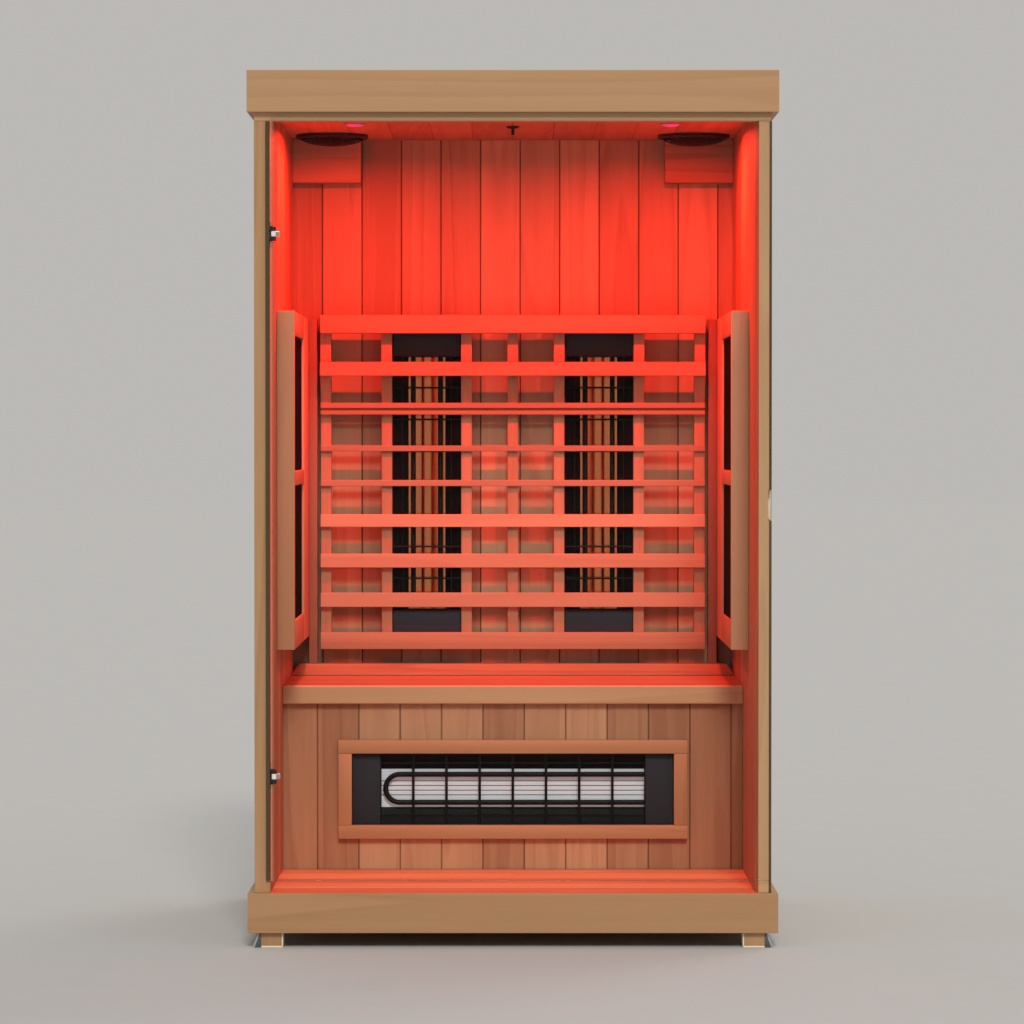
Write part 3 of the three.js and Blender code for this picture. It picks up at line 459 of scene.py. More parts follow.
def mottled(name, colour, deep, roughness, scale, metallic=0.0, bump=0.15, specular=0.5):
    """An even finish with a fine mottle in its colour, gloss and surface."""
    s = Surface(name, roughness, metallic, specular)
    speckle = s.noise(s.place(), scale, detail=4.0, roughness=0.6)
    s.set(Base_Color=s.mix(speckle, *tones(colour, deep)))
    s.set(Roughness=s.span(speckle, *[min(1.0, roughness * share) for share in MOTTLE_GLOSS]))
    s.bump(speckle, bump, MOTTLE_DEPTH)
    return s.material


def brushed(name, colour, deep, grain, roughness, metallic=1.0):
    """Drawn sheet metal with fine lines along one axis, with painted shade on the faces of its folds that
    turn away from the front.
    """
    s = Surface(name, roughness, metallic)
    stretch = [1.0, 1.0, 1.0]
    stretch[grain] = BRUSH_STRETCH
    lines = s.noise(s.vector("MULTIPLY", s.place(), stretch), BRUSH_SCALE, detail=3.0, roughness=0.6)
    front = s.axes(s.node("ShaderNodeNewGeometry").outputs["True Normal"])[Y]
    # Painted shade: faces that turn away from the front are darkened
    fold_painted_shade = s.span(s.math("ABSOLUTE", front), FOLD_SHADE, 1.0, *FOLD_TURN)
    s.set(Base_Color=s.mix(1.0, s.mix(lines, *tones(colour, deep)), fold_painted_shade, "MULTIPLY"))
    s.set(Roughness=s.span(lines, *[roughness * share for share in BRUSH_GLOSS]))
    s.bump(lines, BRUSH_RELIEF, BRUSH_DEPTH)
    return s.material


def woven(name, colour, deep):
    """The close weave of a carbon sheet, seen as crossing ribs."""
    s = Surface(name, roughness=0.7, specular=0.01)
    turns = 2 * math.pi / WEAVE_PITCH
    axes = s.axes(s.place())
    warp = s.math("SINE", s.math("MULTIPLY", axes[Y], turns))
    weft = s.math("SINE", s.math("MULTIPLY", axes[Z], turns))
    weave = s.span(s.math("MULTIPLY", warp, weft), 0.0, 1.0, -1.0)
    cloud = s.noise(s.place(), CLOUD_SCALE, detail=3.0)
    s.set(Base_Color=s.mix(s.math("MULTIPLY", weave, cloud), *tones(colour, deep)))
    s.set(Roughness=s.span(weave, *WEAVE_GLOSS))
    s.bump(weave, WEAVE_RELIEF, WEAVE_DEPTH)
    return s.material


def clear_glass(name):
    """Clear glass with olive cut edges, and a pale band of painted highlight along the hinge side, below
    the header.
    """
    s = Surface(name, roughness=0.03)
    place = s.place()
    axes = s.axes(place)
    low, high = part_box("door_glass")
    side = s.math("GREATER_THAN", axes[X], high.x - GLASS_RIM)
    ends = s.math("GREATER_THAN", axes[Z], high.z - GLASS_RIM)
    ends = s.math("MAXIMUM", ends, s.math("LESS_THAN", axes[Z], low.z + GLASS_RIM))
    cut = s.math("MAXIMUM", side, s.math("MULTIPLY", ends, GLASS_END_SHARE))
    # Painted highlight: a pale band along the hinge-side edge, fading over its width
    near = s.span(axes[X], 1.0, 0.0, low.x, low.x + HINGE_HIGHLIGHT_WIDTH)
    hinge_highlight = s.math("MULTIPLY", near, s.math("LESS_THAN", axes[Z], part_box("front_header")[0].z))
    facing = s.node("ShaderNodeLayerWeight", {"Blend": 0.5}).outputs["Facing"]
    sheen = s.math("MULTIPLY", s.math("POWER", facing, GLASS_SHEEN_POWER), GLASS_SHEEN)
    smear = s.noise(place, GLASS_SMEAR_SCALE, detail=3.0)
    colour = s.mix(cut, GLASS_COLOUR, GLASS_CUT_COLOUR)
    s.set(Base_Color=s.mix(hinge_highlight, colour, GLASS_HIGHLIGHT_COLOUR))
    s.set(Roughness=s.span(smear, *GLASS_GLOSS))
    cut_share = s.math("MULTIPLY", cut, GLASS_CUT_SHARE)
    highlight_share = s.math("MULTIPLY", hinge_highlight, GLASS_HIGHLIGHT_SHARE)
    dense = s.math("ADD", s.math("ADD", cut_share, highlight_share), GLASS_DENSITY)
    s.set(Alpha=s.math("ADD", sheen, dense))
    return s.material


def glowing(name, colour, deep, glow, strength):
    """A lit lens with a fine prism pattern."""
    s = Surface(name, roughness=0.25)
    prisms = s.node("ShaderNodeTexVoronoi", {"Vector": s.place(), "Scale": LENS_CELLS})
    cells = prisms.outputs["Distance"]
    s.set(Base_Color=s.mix(cells, *tones(colour, deep)))
    s.set(Emission_Color=glow, Emission_Strength=strength)
    s.bump(cells, LENS_RELIEF, LENS_DEPTH)
    return s.material


def shaded(timber, shade):
    """The tones of a timber, made lighter or darker by a share."""
    return [(*[channel * shade for channel in tone[:3]], 1) for tone in timber]


def grained(name, timber):
    """The same timber with its grain along each axis."""
    return [wood(f"{name}_{letter}", timber, axis, contrast=0.8) for axis, letter in enumerate("xyz")]


# Finishes


seat_low, seat_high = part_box("bench_seat")
seat_pitch = (seat_high.y - seat_low.y) / SEAT_BOARDS
shell = grained("shell_timber", SHELL_TONES)
slat = grained("slat_timber", SLAT_TONES)
surround = grained("surround_timber", SURROUND_TONES)
post_timber = wood("post_timber", POST_TONES, Z, contrast=0.8)
return_shaded_timber = wood("return_shaded_timber", SHADED_RETURN_TONES, Z, contrast=0.8)
stile_lit_timber = wood("stile_lit_timber", LIT_STILE_TONES, Z, contrast=0.8)
nosing_timber = wood("nosing_timber", NOSING_TONES, X, contrast=0.8)
header_timber = wood("header_timber", HEADER_TONES, X, contrast=0.8)
lining = {
    "left": wood("lining_left", LINING_TONES, Z, SIDE_BOARDS, outer=OUTER_TONES),
    "right": wood("lining_right", LINING_TONES, Z, SIDE_BOARDS, outer=RIGHT_OUTER_TONES),
    "back": wood("lining_back", BACK_TONES, Z, BACK_BOARDS, swing=0.42, outer=OUTER_TONES),
    "panel": wood("lining_panel", PANEL_TONES, Z, PANEL_BOARDS, swing=0.42, joint=0.5),
    "ceiling": wood("lining_ceiling", LINING_TONES, Y, CEILING_BOARDS, swing=0.15, joint=0.92),
    "floor": wood("lining_floor", FLOOR_TONES, X, FLOOR_BOARDS, joint=0.7),
    "seat": wood("lining_seat", SEAT_TONES, X, (Y, seat_pitch, seat_low.y), joint=0.5),
    "plain": wood("lining_plain", LINING_TONES, X),
}
edge_shade_timber = wood("edge_shade_timber", EDGE_SHADE_TONES, Z)

# Each has a colour, the share of it that the deep tone keeps, a roughness and a mottle scale
plate_enamel = mottled("plate_enamel", (0.026, 0.029, 0.036), 0.75, 0.6, 900.0, specular=0.2)
cool_enamel = mottled("cool_enamel", (0.027, 0.037, 0.048), 0.75, 0.6, 900.0, specular=0.2)
# The trough is a deeper, glossier black than the end plates; its extra darkness is painted shade
trough_shaded_enamel = mottled("trough_shaded_enamel", (0.005, 0.005, 0.006), 0.6, 0.5, 900.0, specular=0.08)
rod_glaze = mottled("rod_glaze", (0.008, 0.007, 0.008), 0.5, 0.5, 260.0, specular=0.15)
dark_steel = mottled("dark_steel", (0.03, 0.028, 0.03), 0.4, 0.45, 500.0, metallic=0.4)
chrome = mottled("chrome", (0.62, 0.60, 0.58), 0.82, 0.18, 300.0, metallic=1.0, bump=0.03)
# Polished metal for the hinge barrel, its near-white colour also a painted highlight
polished_highlit = mottled("polished_barrel_painted_highlight", (1.0, 0.97, 0.86), 0.92, 0.25, 300.0, metallic=0.3, bump=0.03)
blue_steel = mottled("blue_steel", (0.13, 0.15, 0.18), 0.47, 0.45, 220.0, metallic=0.5)
bright_steel = mottled("bright_steel", (0.5, 0.53, 0.5), 0.72, 0.4, 220.0, metallic=0.5)

# Each has a colour and the share of it that the deep tone keeps; the mirrors also a grain and a roughness
# The calf reflector is mostly diffuse, its pale bluish colour painting the bright reflection of polished
# metal
calf_mirror = brushed("calf_mirror", (0.82, 0.94, 1.0), 0.92, X, 0.25, metallic=0.22)
back_mirror = brushed("back_mirror", (0.82, 0.27, 0.11), 0.65, Z, 0.2)
carbon = woven("carbon_weave", (0.005, 0.002, 0.004), 0.5)

# Seals and mouldings, mottled as the metals are
rubber = mottled("seal_rubber", (0.10, 0.068, 0.038), 0.7, 0.8, 400.0, specular=0.2)
black_plastic = mottled("black_plastic", (0.014, 0.011, 0.011), 0.6, 0.5, 700.0, specular=0.3)
grey_plastic = mottled("grey_plastic", (0.3, 0.31, 0.33), 0.8, 0.55, 500.0)
pale_plastic = mottled("pale_plastic", (0.93, 0.80, 0.60), 0.9, 0.5, 300.0)

# Door, lamps and the finishes of the two kinds of heater
glass = clear_glass("door_glass_clear")
lens = glowing("light_lens_lit", (0.7, 0.12, 0.25), 0.6, (1.0, 0.05, 0.28, 1), 0.5)
calf_finish = {"plates": plate_enamel, "mirror": calf_mirror, "mirror_slot": "calf_reflector"}
back_finish = {"plates": cool_enamel, "mirror": back_mirror, "mirror_slot": "back_reflector"}


# Mesh helpers


def merge(bm, part):
    """Adds one finished bmesh to another."""
    mesh = bpy.data.meshes.new("part")
    part.to_mesh(mesh)
    part.free()
    bm.from_mesh(mesh)
    bpy.data.meshes.remove(mesh)


def ease(part, rounding, segments=2):
    if rounding:
        edges = part.edges[:]
        bmesh.ops.bevel(part, geom=edges, offset=rounding, segments=segments, profile=0.5, affect="EDGES")


def add_box(bm, low, high, rounding=EDGE):
    """A block between two corners, in any order, with rounded edges."""
    part = bmesh.new()
    low, high = Vector(low), Vector(high)
    size = Vector([abs(length) for length in high - low])
    place = Matrix.Translation((low + high) / 2) @ Matrix.Diagonal((*size, 1))
    bmesh.ops.create_cube(part, size=1.0, matrix=place)
    ease(part, min(rounding, min(size) * ROUNDING_SHARE))
    merge(bm, part)


def add_prism(bm, points, axis, span, rounding=EDGE):
    """A section given on the two other axes, drawn out along one axis."""
    part = bmesh.new()
    others = [a for a in (X, Y, Z) if a != axis]
    ends = []
    for at in span:
        ring = []
        for pair in points:
            corner = [0.0, 0.0, 0.0]
            corner[axis] = at
            corner[others[0]], corner[others[1]] = pair
            ring.append(part.verts.new(corner))
        ends.append(ring)
    part.faces.new(ends[0])
    part.faces.new(ends[1])
    for k in range(len(points)):
        part.faces.new((ends[0][k - 1], ends[0][k], ends[1][k], ends[1][k - 1]))
    bmesh.ops.recalc_face_normals(part, faces=part.faces[:])
    ease(part, rounding)
    merge(bm, part)


def circle(radius, sides):
    angles = [2 * math.pi * k / sides for k in range(sides)]
    return [(radius * math.cos(a), radius * math.sin(a)) for a in angles]


def skin(part, rings):
    """Faces between rings of the same number of points, where a ring may be one point on the axis."""
    for below, above in zip(rings, rings[1:]):
        for k in range(max(len(below), len(above))):
            corners = [below[k - 1 if len(below) > 1 else 0]]
            if len(below) > 1:
                corners.append(below[k])
            corners.append(above[k if len(above) > 1 else 0])
            if len(above) > 1:
                corners.append(above[k - 1])
            part.faces.new(corners)


def add_turned(bm, profile, place, sides=48):
    """A turned shape round the Z axis of a place, from radius and height pairs that close on themselves."""
    part = bmesh.new()
    rings = []
    for radius, height in profile:
        points = circle(radius, sides) if radius else [(0, 0)]
        rings.append([part.verts.new((x, y, height)) for x, y in points])
    skin(part, rings)
    for face in part.faces:
        face.smooth = True
    bmesh.ops.remove_doubles(part, verts=part.verts[:], dist=1e-7)
    bmesh.ops.recalc_face_normals(part, faces=part.faces[:])
    bmesh.ops.transform(part, matrix=place, verts=part.verts[:])
    merge(bm, part)


def add_tube(bm, points, radius, sides=14, cap=0.35):
    """A round bar along points, with eased ends."""
    part = bmesh.new()
    points = [Vector(point) for point in points]
    first_way = (points[1] - points[0]).normalized()
    points.insert(1, points[0] + first_way * radius * cap)
    last_way = (points[-1] - points[-2]).normalized()
    points.insert(-1, points[-1] - last_way * radius * cap)
    last = len(points) - 1
    across = first_way.orthogonal().normalized()
    rings = []
    for k, point in enumerate(points):
        way = (points[min(k + 1, last)] - points[max(k - 1, 0)]).normalized()
        across = (across - way * across.dot(way)).normalized()
        around = way.cross(across)
        size = radius * (1 - cap) if k in (0, last) else radius
        rings.append([part.verts.new(point + across * a + around * b) for a, b in circle(size, sides)])
    skin(part, rings)
    for face in part.faces:
        face.smooth = True
    part.faces.new(rings[0])
    part.faces.new(rings[-1])
    bmesh.ops.recalc_face_normals(part, faces=part.faces[:])
    merge(bm, part)


def towards(direction, place):
    """A place whose Z axis points along a direction."""
    turn = Vector(direction).to_track_quat("Z", "Y").to_matrix().to_4x4()
    return Matrix.Translation(Vector(place)) @ turn


def add_screw(bm, direction, place, radius=0.0035, height=0.0012):
    """A pan-head screw with a cross on its head."""
    seat = towards(direction, place)
    add_turned(bm, [(radius * wide, height * tall) for wide, tall in SCREW_DOME], seat, sides=20)
    arm = radius * SCREW_CROSS_REACH
    slim = arm * SCREW_CROSS_WIDTH
    for wide, deep in ((arm, slim), (slim, arm)):
        part = bmesh.new()
        size = Matrix.Diagonal((2 * wide, 2 * deep, height * SCREW_CROSS_HEIGHT, 1))
        bmesh.ops.create_cube(part, size=1.0, matrix=seat @ Matrix.Translation((0, 0, height)) @ size)
        merge(bm, part)


def new_piece(name, bm, material, body="cabin", replaces=()):
    """Makes a piece of a bmesh that is drawn in the cabin's own frame, and rides it on a body."""
    mesh = bpy.data.meshes.new(name)
    bm.to_mesh(mesh)
    bm.free()
    mesh.set_sharp_from_angle(angle=SMOOTH_ANGLE)
    mesh.materials.append(material)
    piece = bpy.data.objects.new(name, mesh)
    bpy.context.scene.collection.objects.link(piece)
    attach(piece, body)
    if replaces:
        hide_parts(*replaces)
    return piece


def board(name, low, high, material, slot, rounding=EDGE, replaces=()):
    """One board between two corners, as a piece."""
    bm = bmesh.new()
    add_box(bm, low, high, rounding)
    return new_piece(name, bm, material, replaces=replaces)


def dress(material, *names, rounding=EDGE):
    """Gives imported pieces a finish, with their sharp edges eased."""
    for name in names:
        node = frame["nodes"][name]
        node.data.materials.clear()
        node.data.materials.append(material)
        if rounding:
            weld = node.modifiers.new("weld", "WELD")
            weld.merge_threshold = WELD_REACH
            eased = node.modifiers.new("ease", "BEVEL")
            eased.width = rounding
            eased.segments = 2
            eased.limit_method = "ANGLE"
            eased.angle_limit = EDGE_ANGLE


def middle(node):
    """The middle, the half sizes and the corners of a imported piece."""
    low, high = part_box(node)
    return (low + high) / 2, (high - low) / 2, low, high


# Heater sizes, from the frame


heater_half = middle("calf_heater_housing")[1]
heater_front = -2 * heater_half.y
trough_x = heater_half.x - END_PLATE
inner_x = trough_x - SHEET - FIT


# Pieces


def dress_shell():
    dress(shell[X], "plinth_front", "plinth_rear", "crown_front", "crown_rear")
    dress(shell[X], "roof_cover")
    dress(header_timber, "front_header")
    dress(shell[Y], "plinth_left", "plinth_right", "crown_left", "crown_right")
    dress(lining["left"], "left_wall", rounding=FINE_EDGE)
    dress(lining["right"], "right_wall", rounding=FINE_EDGE)
    dress(lining["back"], "back_wall", rounding=FINE_EDGE)
    dress(lining["ceiling"], "ceiling_panel", rounding=FINE_EDGE)
    dress(lining["floor"], "floor_panel", rounding=FINE_EDGE)
    dress(grey_plastic, "power_box", rounding=SOFT_EDGE)
    dress(rubber, "hinge_seal", rounding=EDGE)
    dress(glass, "door_glass", rounding=FINE_EDGE)


def dress_inside():
    dress(lining["seat"], "bench_seat", rounding=FINE_EDGE)
    dress(lining["panel"], "bench_front_panel", rounding=FINE_EDGE)
    dress(lining["plain"], "bench_rear_rail", "left_corner_block", "right_corner_block", rounding=SOFT_EDGE)
    dress(nosing_timber, "bench_nosing", rounding=SOFT_EDGE)
    # Each slat's timber is lighter or darker as mild painted light and shade
    for k, shade in enumerate(SLAT_PAINTED_LIGHT, 1):
        timber = wood(f"slat_timber_{k}", shaded(SLAT_TONES, shade), X, contrast=0.8)
        dress(timber, f"backrest_slat_{k}")
    dress(carbon, "left_carbon_panel", "right_carbon_panel", rounding=FINE_EDGE)
    dress(lens, "left_ceiling_light", "right_ceiling_light", rounding=0)


def make_calf_surround():
    """Two through rails with a stile between them at each end."""
    low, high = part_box("calf_heater_surround")
    heater_low, heater_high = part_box("calf_heater_housing")
    inner_x = heater_high.x + FIT
    floor_z, top_z = heater_low.z - FIT, heater_high.z + FIT
    slot = "shell_timber"
    replaced = ["calf_heater_surround"]
    board("calf_surround_top", (low.x, low.y, top_z), high, surround[X], slot, replaces=replaced)
    board("calf_surround_bottom", low, (high.x, high.y, floor_z), surround[X], slot)
    for name, side in SIDES:
        inner = (side * inner_x, low.y, floor_z + FIT)
        outer = (side * high.x, high.y, top_z - FIT)
        board(f"calf_surround_{name}", inner, outer, surround[Z], slot)


def make_side_frame(name, side):
    """The posts, rear stile, rails and middle batten in front of one carbon panel."""
    low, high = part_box(f"{name}_heater_frame")
    wall_x, return_x = (high.x, low.x) if side > 0 else (low.x, high.x)
    face_x = wall_x - side * FRAME_THICKNESS
    front_y, back_y = low.y + POST_WIDTH + FIT, high.y - REAR_STILE_WIDTH - FIT
    base_z = high.z - FRAME_HEIGHT
    low_z, high_z = base_z + BOTTOM_RAIL_HEIGHT, high.z - TOP_RAIL_HEIGHT
    batten_z = (low_z + high_z - BATTEN_HEIGHT) / 2
    batten_x = face_x + side * BATTEN_DEPTH
    sticks = {
        "post": (wall_x, post_timber, (low.y, low.y + POST_WIDTH), (base_z, high.z)),
        # The rear stile's paler timber is painted light
        "stile": (wall_x, stile_lit_timber, (back_y + FIT, high.y), (base_z, high.z)),
        "top": (wall_x, slat[Y], (front_y, back_y), (high_z, high.z)),
        "bottom": (wall_x, slat[Y], (front_y, back_y), (base_z, low_z)),
        "batten": (batten_x, slat[Y], (front_y, back_y), (batten_z, batten_z + BATTEN_HEIGHT)),
    }
    slot = "slat_timber"
    for stick, (x, timber, y, z) in sticks.items():
        board(f"{name}_frame_{stick}", (face_x, y[0], z[0]), (x, y[1], z[1]), timber, slot)
    # The return is built of a darker timber that paints the shade it stands in
    return_low = (face_x - side * FIT, high.y - RETURN_DEPTH, low.z)
    return_high = (return_x, high.y, high.z)
    replaced = [f"{name}_heater_frame"]
    board(f"{name}_frame_return", return_low, return_high, return_shaded_timber, slot, replaces=replaced)


def make_backrest():
    """Seven ribs with a top and a bottom rail across their fronts."""
    low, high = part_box("backrest_frame")
    head_y, rib_y = high.y - HEADREST_DEPTH, high.y - RIB_DEPTH
    section = [
        (high.y, low.z),
        (high.y, high.z),
        (head_y, high.z),
        (head_y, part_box("backrest_slat_1")[0].z - HEADREST_MARGIN),
        (rib_y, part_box("backrest_slat_2")[1].z + HEADREST_MARGIN),
        (rib_y, low.z),
    ]
    places = [0.0, low.x + RIB_WIDTH / 2, high.x - RIB_WIDTH / 2]
    for name, side in SIDES:
        heater_low, heater_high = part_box(f"{name}_back_heater_housing")
        places.append(heater_low.x - RIB_WIDTH / 2 - 2 * FIT)
        places.append(heater_high.x + RIB_WIDTH / 2 + 2 * FIT)
    slot = "slat_timber"
    for k, x in enumerate(sorted(places), 1):
        bm = bmesh.new()
        add_prism(bm, section, X, (x - RIB_WIDTH / 2, x + RIB_WIDTH / 2))
        new_piece(f"backrest_rib_{k}", bm, slat[Z], replaces=["backrest_frame"] if k == 1 else ())
    rail_end = (high.x, head_y - FIT, high.z)
    board("backrest_top_rail", (low.x, low.y, high.z - BACK_TOP_RAIL), rail_end, slat[X], slot, SOFT_EDGE)
    rail_end = (high.x, rib_y - FIT, low.z + BACK_BOTTOM_RAIL)
    board("backrest_bottom_rail", (low.x, rib_y - BACK_BOTTOM_THICKNESS, low.z), rail_end, slat[X], slot)


def make_end_plates():
    """The two folded end covers of a housing, each with two screws."""
    bm = bmesh.new()
    end_x, side_z = heater_half.x, heater_half.z
    for end in (-1, 1):
        corner = (end * end_x, 0, side_z)
        cover_corner = (end * end_x, heater_front + SHEET, side_z)
        add_box(bm, (end * (end_x - SHEET), heater_front, -side_z), corner, FINE_EDGE)
        add_box(bm, (end * trough_x, heater_front, -side_z), cover_corner, FINE_EDGE)
        for edge in (-1, 1):
            screw_x = end * (end_x - PLATE_SCREW_INSET_X)
            screw_z = edge * (side_z - PLATE_SCREW_INSET_Z)
            add_screw(bm, (0, -1, 0), (screw_x, heater_front, screw_z), PLATE_SCREW_RADIUS)
    return bm


def make_trough():
    """The bent sheet behind the reflector, with the housing's long sides and the two webs at its ends."""
    bm = bmesh.new()
    end_x, side_z, seat_z = heater_half.x, heater_half.z, TROUGH_WIDTH / 2
    face = [(heater_front, side_z), (-TROUGH_SEAT, seat_z)]
    face += [(y, -z) for y, z in reversed(face)]
    back = [(y + SHEET, z) for y, z in reversed(face)]
    add_prism(bm, face + back, X, (-trough_x, trough_x), 0)
    for edge in (-1, 1):
        side_low = (-end_x, heater_front, edge * (side_z - SHEET))
        add_box(bm, side_low, (end_x, 0, edge * side_z), FINE_EDGE)
        web_low = (edge * (trough_x - SHEET), heater_front, -side_z)
        add_box(bm, web_low, (edge * trough_x, -SHEET, side_z), FINE_EDGE)
    return bm


def make_guard(kind):
    """Short wires across the housing, welded to two long wires behind them."""
    bm = bmesh.new()
    radius = kind["wire"]
    wire_y = heater_front + radius
    wire_z = heater_half.z - SHEET / 2
    for k in range(WIRE_COUNT):
        x = (k - (WIRE_COUNT - 1) / 2) * WIRE_PITCH
        add_tube(bm, [(x, wire_y, -wire_z), (x, wire_y, wire_z)], radius)
    long_y = wire_y + radius + LONG_WIRE_RADIUS - WIRE_WELD
    for edge in (-1, 1):
        z = edge * LONG_WIRE_SPREAD / 2
        add_tube(bm, [(-trough_x, long_y, z), (trough_x, long_y, z)], LONG_WIRE_RADIUS)
    return bm


def make_reflector(kind):
    """A sheet with a row of folds pressed into its face."""
    bm = bmesh.new()
    back = -TROUGH_SEAT - FIT
    front = back - REFLECTOR_THICKNESS
    edge_z = REFLECTOR_WIDTH / 2
    sheet = [(front, edge_z), (back, edge_z), (back, -edge_z), (front, -edge_z)]
    for k in range(kind["folds"]):
        fold = (k - (kind["folds"] - 1) / 2) * kind["pitch"]
        sheet.append((front, fold - kind["width"] / 2))
        sheet.append((front + kind["depth"], fold))
        sheet.append((front, fold + kind["width"] / 2))
    add_prism(bm, sheet, X, (-inner_x, inner_x), 0)
    return bm


def make_rod():
    """The heating rod, bent back on itself at one end."""
    bm = bmesh.new()
    bend = ROD_SPACING / 2
    bend_x = -inner_x + ROD_BEND_GAP + ROD_RADIUS + bend
    path = [(inner_x, -ROD_LEVEL, bend)]
    for k in range(ROD_BEND_STEPS + 1):
        angle = math.pi / 2 + math.pi * k / ROD_BEND_STEPS
        path.append((bend_x + bend * math.cos(angle), -ROD_LEVEL, bend * math.sin(angle)))
    path.append((inner_x, -ROD_LEVEL, -bend))
    add_tube(bm, path, ROD_RADIUS, sides=20)
    return bm


def make_heater(name, place, kind, finish):
    """The sheet housing, guard, folded reflector and bent rod of one heater."""
    parts = (
        ("end_plates", make_end_plates(), finish["plates"], "heater_housing", "housing"),
        # The trough's deeper black is partly painted shade
        ("trough", make_trough(), trough_shaded_enamel, "heater_housing", None),
        ("guard", make_guard(kind), rod_glaze, "heater_housing", None),
        ("mirror", make_reflector(kind), finish["mirror"], finish["mirror_slot"], "reflector"),
        ("rod", make_rod(), rod_glaze, "heating_rod", "element"),
    )
    for part, bm, material, slot, node in parts:
        bmesh.ops.transform(bm, matrix=place, verts=bm.verts[:])
        replaced = [f"{name}_heater_{node}"] if node else ()
        new_piece(f"{name}_{part}", bm, material, replaces=replaced)


def make_heaters():
    centre, _, _, high = middle("calf_heater_housing")
    lying = Matrix.Translation((centre.x, high.y, centre.z))
    make_heater("calf", lying, CALF_KIND, calf_finish)
    for name, side in SIDES:
        centre, _, _, high = middle(f"{name}_back_heater_housing")
        upright = Matrix.Translation((centre.x, high.y, centre.z)) @ Matrix.Rotation(-math.pi / 2, 4, "Y")
        make_heater(f"{name}_back", upright, BACK_KIND, back_finish)


def add_barrel(bm, axis, radius, low, high, edge):
    """One turned knuckle of a hinge with eased rims."""
    profile = [(0, low), (radius - edge, low), (radius, low + edge)]
    profile += [(radius, high - edge), (radius - edge, high), (0, high)]
    add_turned(bm, profile, Matrix.Translation((axis.x, axis.y, 0)), sides=32)


def make_hinge(name):
    """Dark knuckles and plate on the wall, a bright middle barrel whose near-white colour is partly a
    painted highlight, and a clamp on the glass.
    """
    axis = Vector(frame["joints"][0]["pos_m"])
    centre, _, low, high = middle(f"{name}_hinge_leaf")
    _, _, clamp_low, clamp_high = middle(f"{name}_hinge_clamp")
    radius = axis.y - low.y
    plate_y = high.y - LEAF_LENGTH
    middle_top = (clamp_high.z - clamp_low.z) / 2
    bm = bmesh.new()
    add_box(bm, (low.x, plate_y, low.z), (low.x + LEAF_THICKNESS, high.y, high.z), FINE_EDGE)
    for side in (-1, 1):
        near, far = sorted((centre.z + side * (middle_top + FIT), centre.z + side * KNUCKLE_TOP))
        add_box(bm, (low.x, axis.y, near), (axis.x, plate_y + LEAF_THICKNESS, far), FINE_EDGE)
        add_barrel(bm, axis, radius, near, far, KNUCKLE_EDGE)
        screw = (low.x + LEAF_THICKNESS, plate_y + LEAF_SCREW_REACH, centre.z + side * LEAF_SCREW_LEVEL)
        add_screw(bm, (1, 0, 0), screw)
    new_piece(f"{name}_hinge_wall_leaf", bm, dark_steel, replaces=[f"{name}_hinge_leaf"])
    bm = bmesh.new()
    add_barrel(bm, axis, radius, clamp_low.z, clamp_high.z, BARREL_EDGE)
    new_piece(f"{name}_hinge_barrel", bm, polished_highlit, "door", [f"{name}_hinge_clamp"])
    bm = bmesh.new()
    clamp_y = clamp_high.y - CLAMP_THICKNESS
    add_box(bm, (axis.x, clamp_y, clamp_low.z), clamp_high, FINE_EDGE)
    add_box(bm, (axis.x, axis.y, clamp_low.z), (axis.x + CLAMP_WEB, clamp_high.y, clamp_high.z), FINE_EDGE)
    screw = (clamp_high.x - CLAMP_SCREW_INSET, clamp_high.y, centre.z)
    add_screw(bm, (0, 1, 0), screw, CLAMP_SCREW_RADIUS)
    new_piece(f"{name}_hinge_glass_clamp", bm, chrome, "door")


def make_foot(end, name, side):
    """A timber post on a pale glide, with a flared steel bracket outside it."""
    node = f"foot_{end}_{name}"
    low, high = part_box(node)
    outer = max(abs(low.x), abs(high.x)) - FLARE_FLOOR
    inner = outer - FOOT_WIDTH
    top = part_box("plinth_front")[0].z - FIT
    slot = "shell_timber"
    post_low = (side * (inner + GLIDE_RIM), low.y, GLIDE_HEIGHT)
    post_high = (side * outer, high.y, high.z)
    board(f"{node}_post", post_low, post_high, shell[Z], slot, EDGE, [node])
    bm = bmesh.new()
    add_box(bm, (side * inner, low.y, 0), (side * outer, high.y, GLIDE_HEIGHT))
    add_box(bm, (side * inner, low.y, 0), (side * (inner + GLIDE_RIM), high.y, top), FINE_EDGE)
    new_piece(f"{node}_glide", bm, pale_plastic)
    tip_x, toe_x = outer + FLARE_TOP, outer + FLARE_FLOOR
    gusset = [(outer, 0), (toe_x - FLARE_FACE, 0), (tip_x - FLARE_TOP / 2, top), (outer, top)]
    plate = [(toe_x - FLARE_FACE, 0), (toe_x, 0), (tip_x, top), (tip_x - FLARE_TOP / 2, top)]
    for part, section, material in (("gusset", gusset, blue_steel), ("flange", plate, bright_steel)):
        bm = bmesh.new()
        add_prism(bm, [(side * x, z) for x, z in section], Y, (low.y, high.y), FINE_EDGE)
        new_piece(f"{node}_{part}", bm, material)


def dome(share, drop):
    """How far the grille hangs down at a share of its reach."""
    return -drop * math.sqrt(1 - share * share * GRILLE_DOME)


def add_rim(bm, under, radius, reach):
    rim = [(radius, 0), (radius, -RIM_SIDE), (radius * RIM_ROUND_SHARE, -RIM_ROUND), (reach, -RIM_LIP)]
    rim.append((radius * RIM_SEAT_SHARE, 0))
    add_turned(bm, rim + rim[:1], under, sides=64)


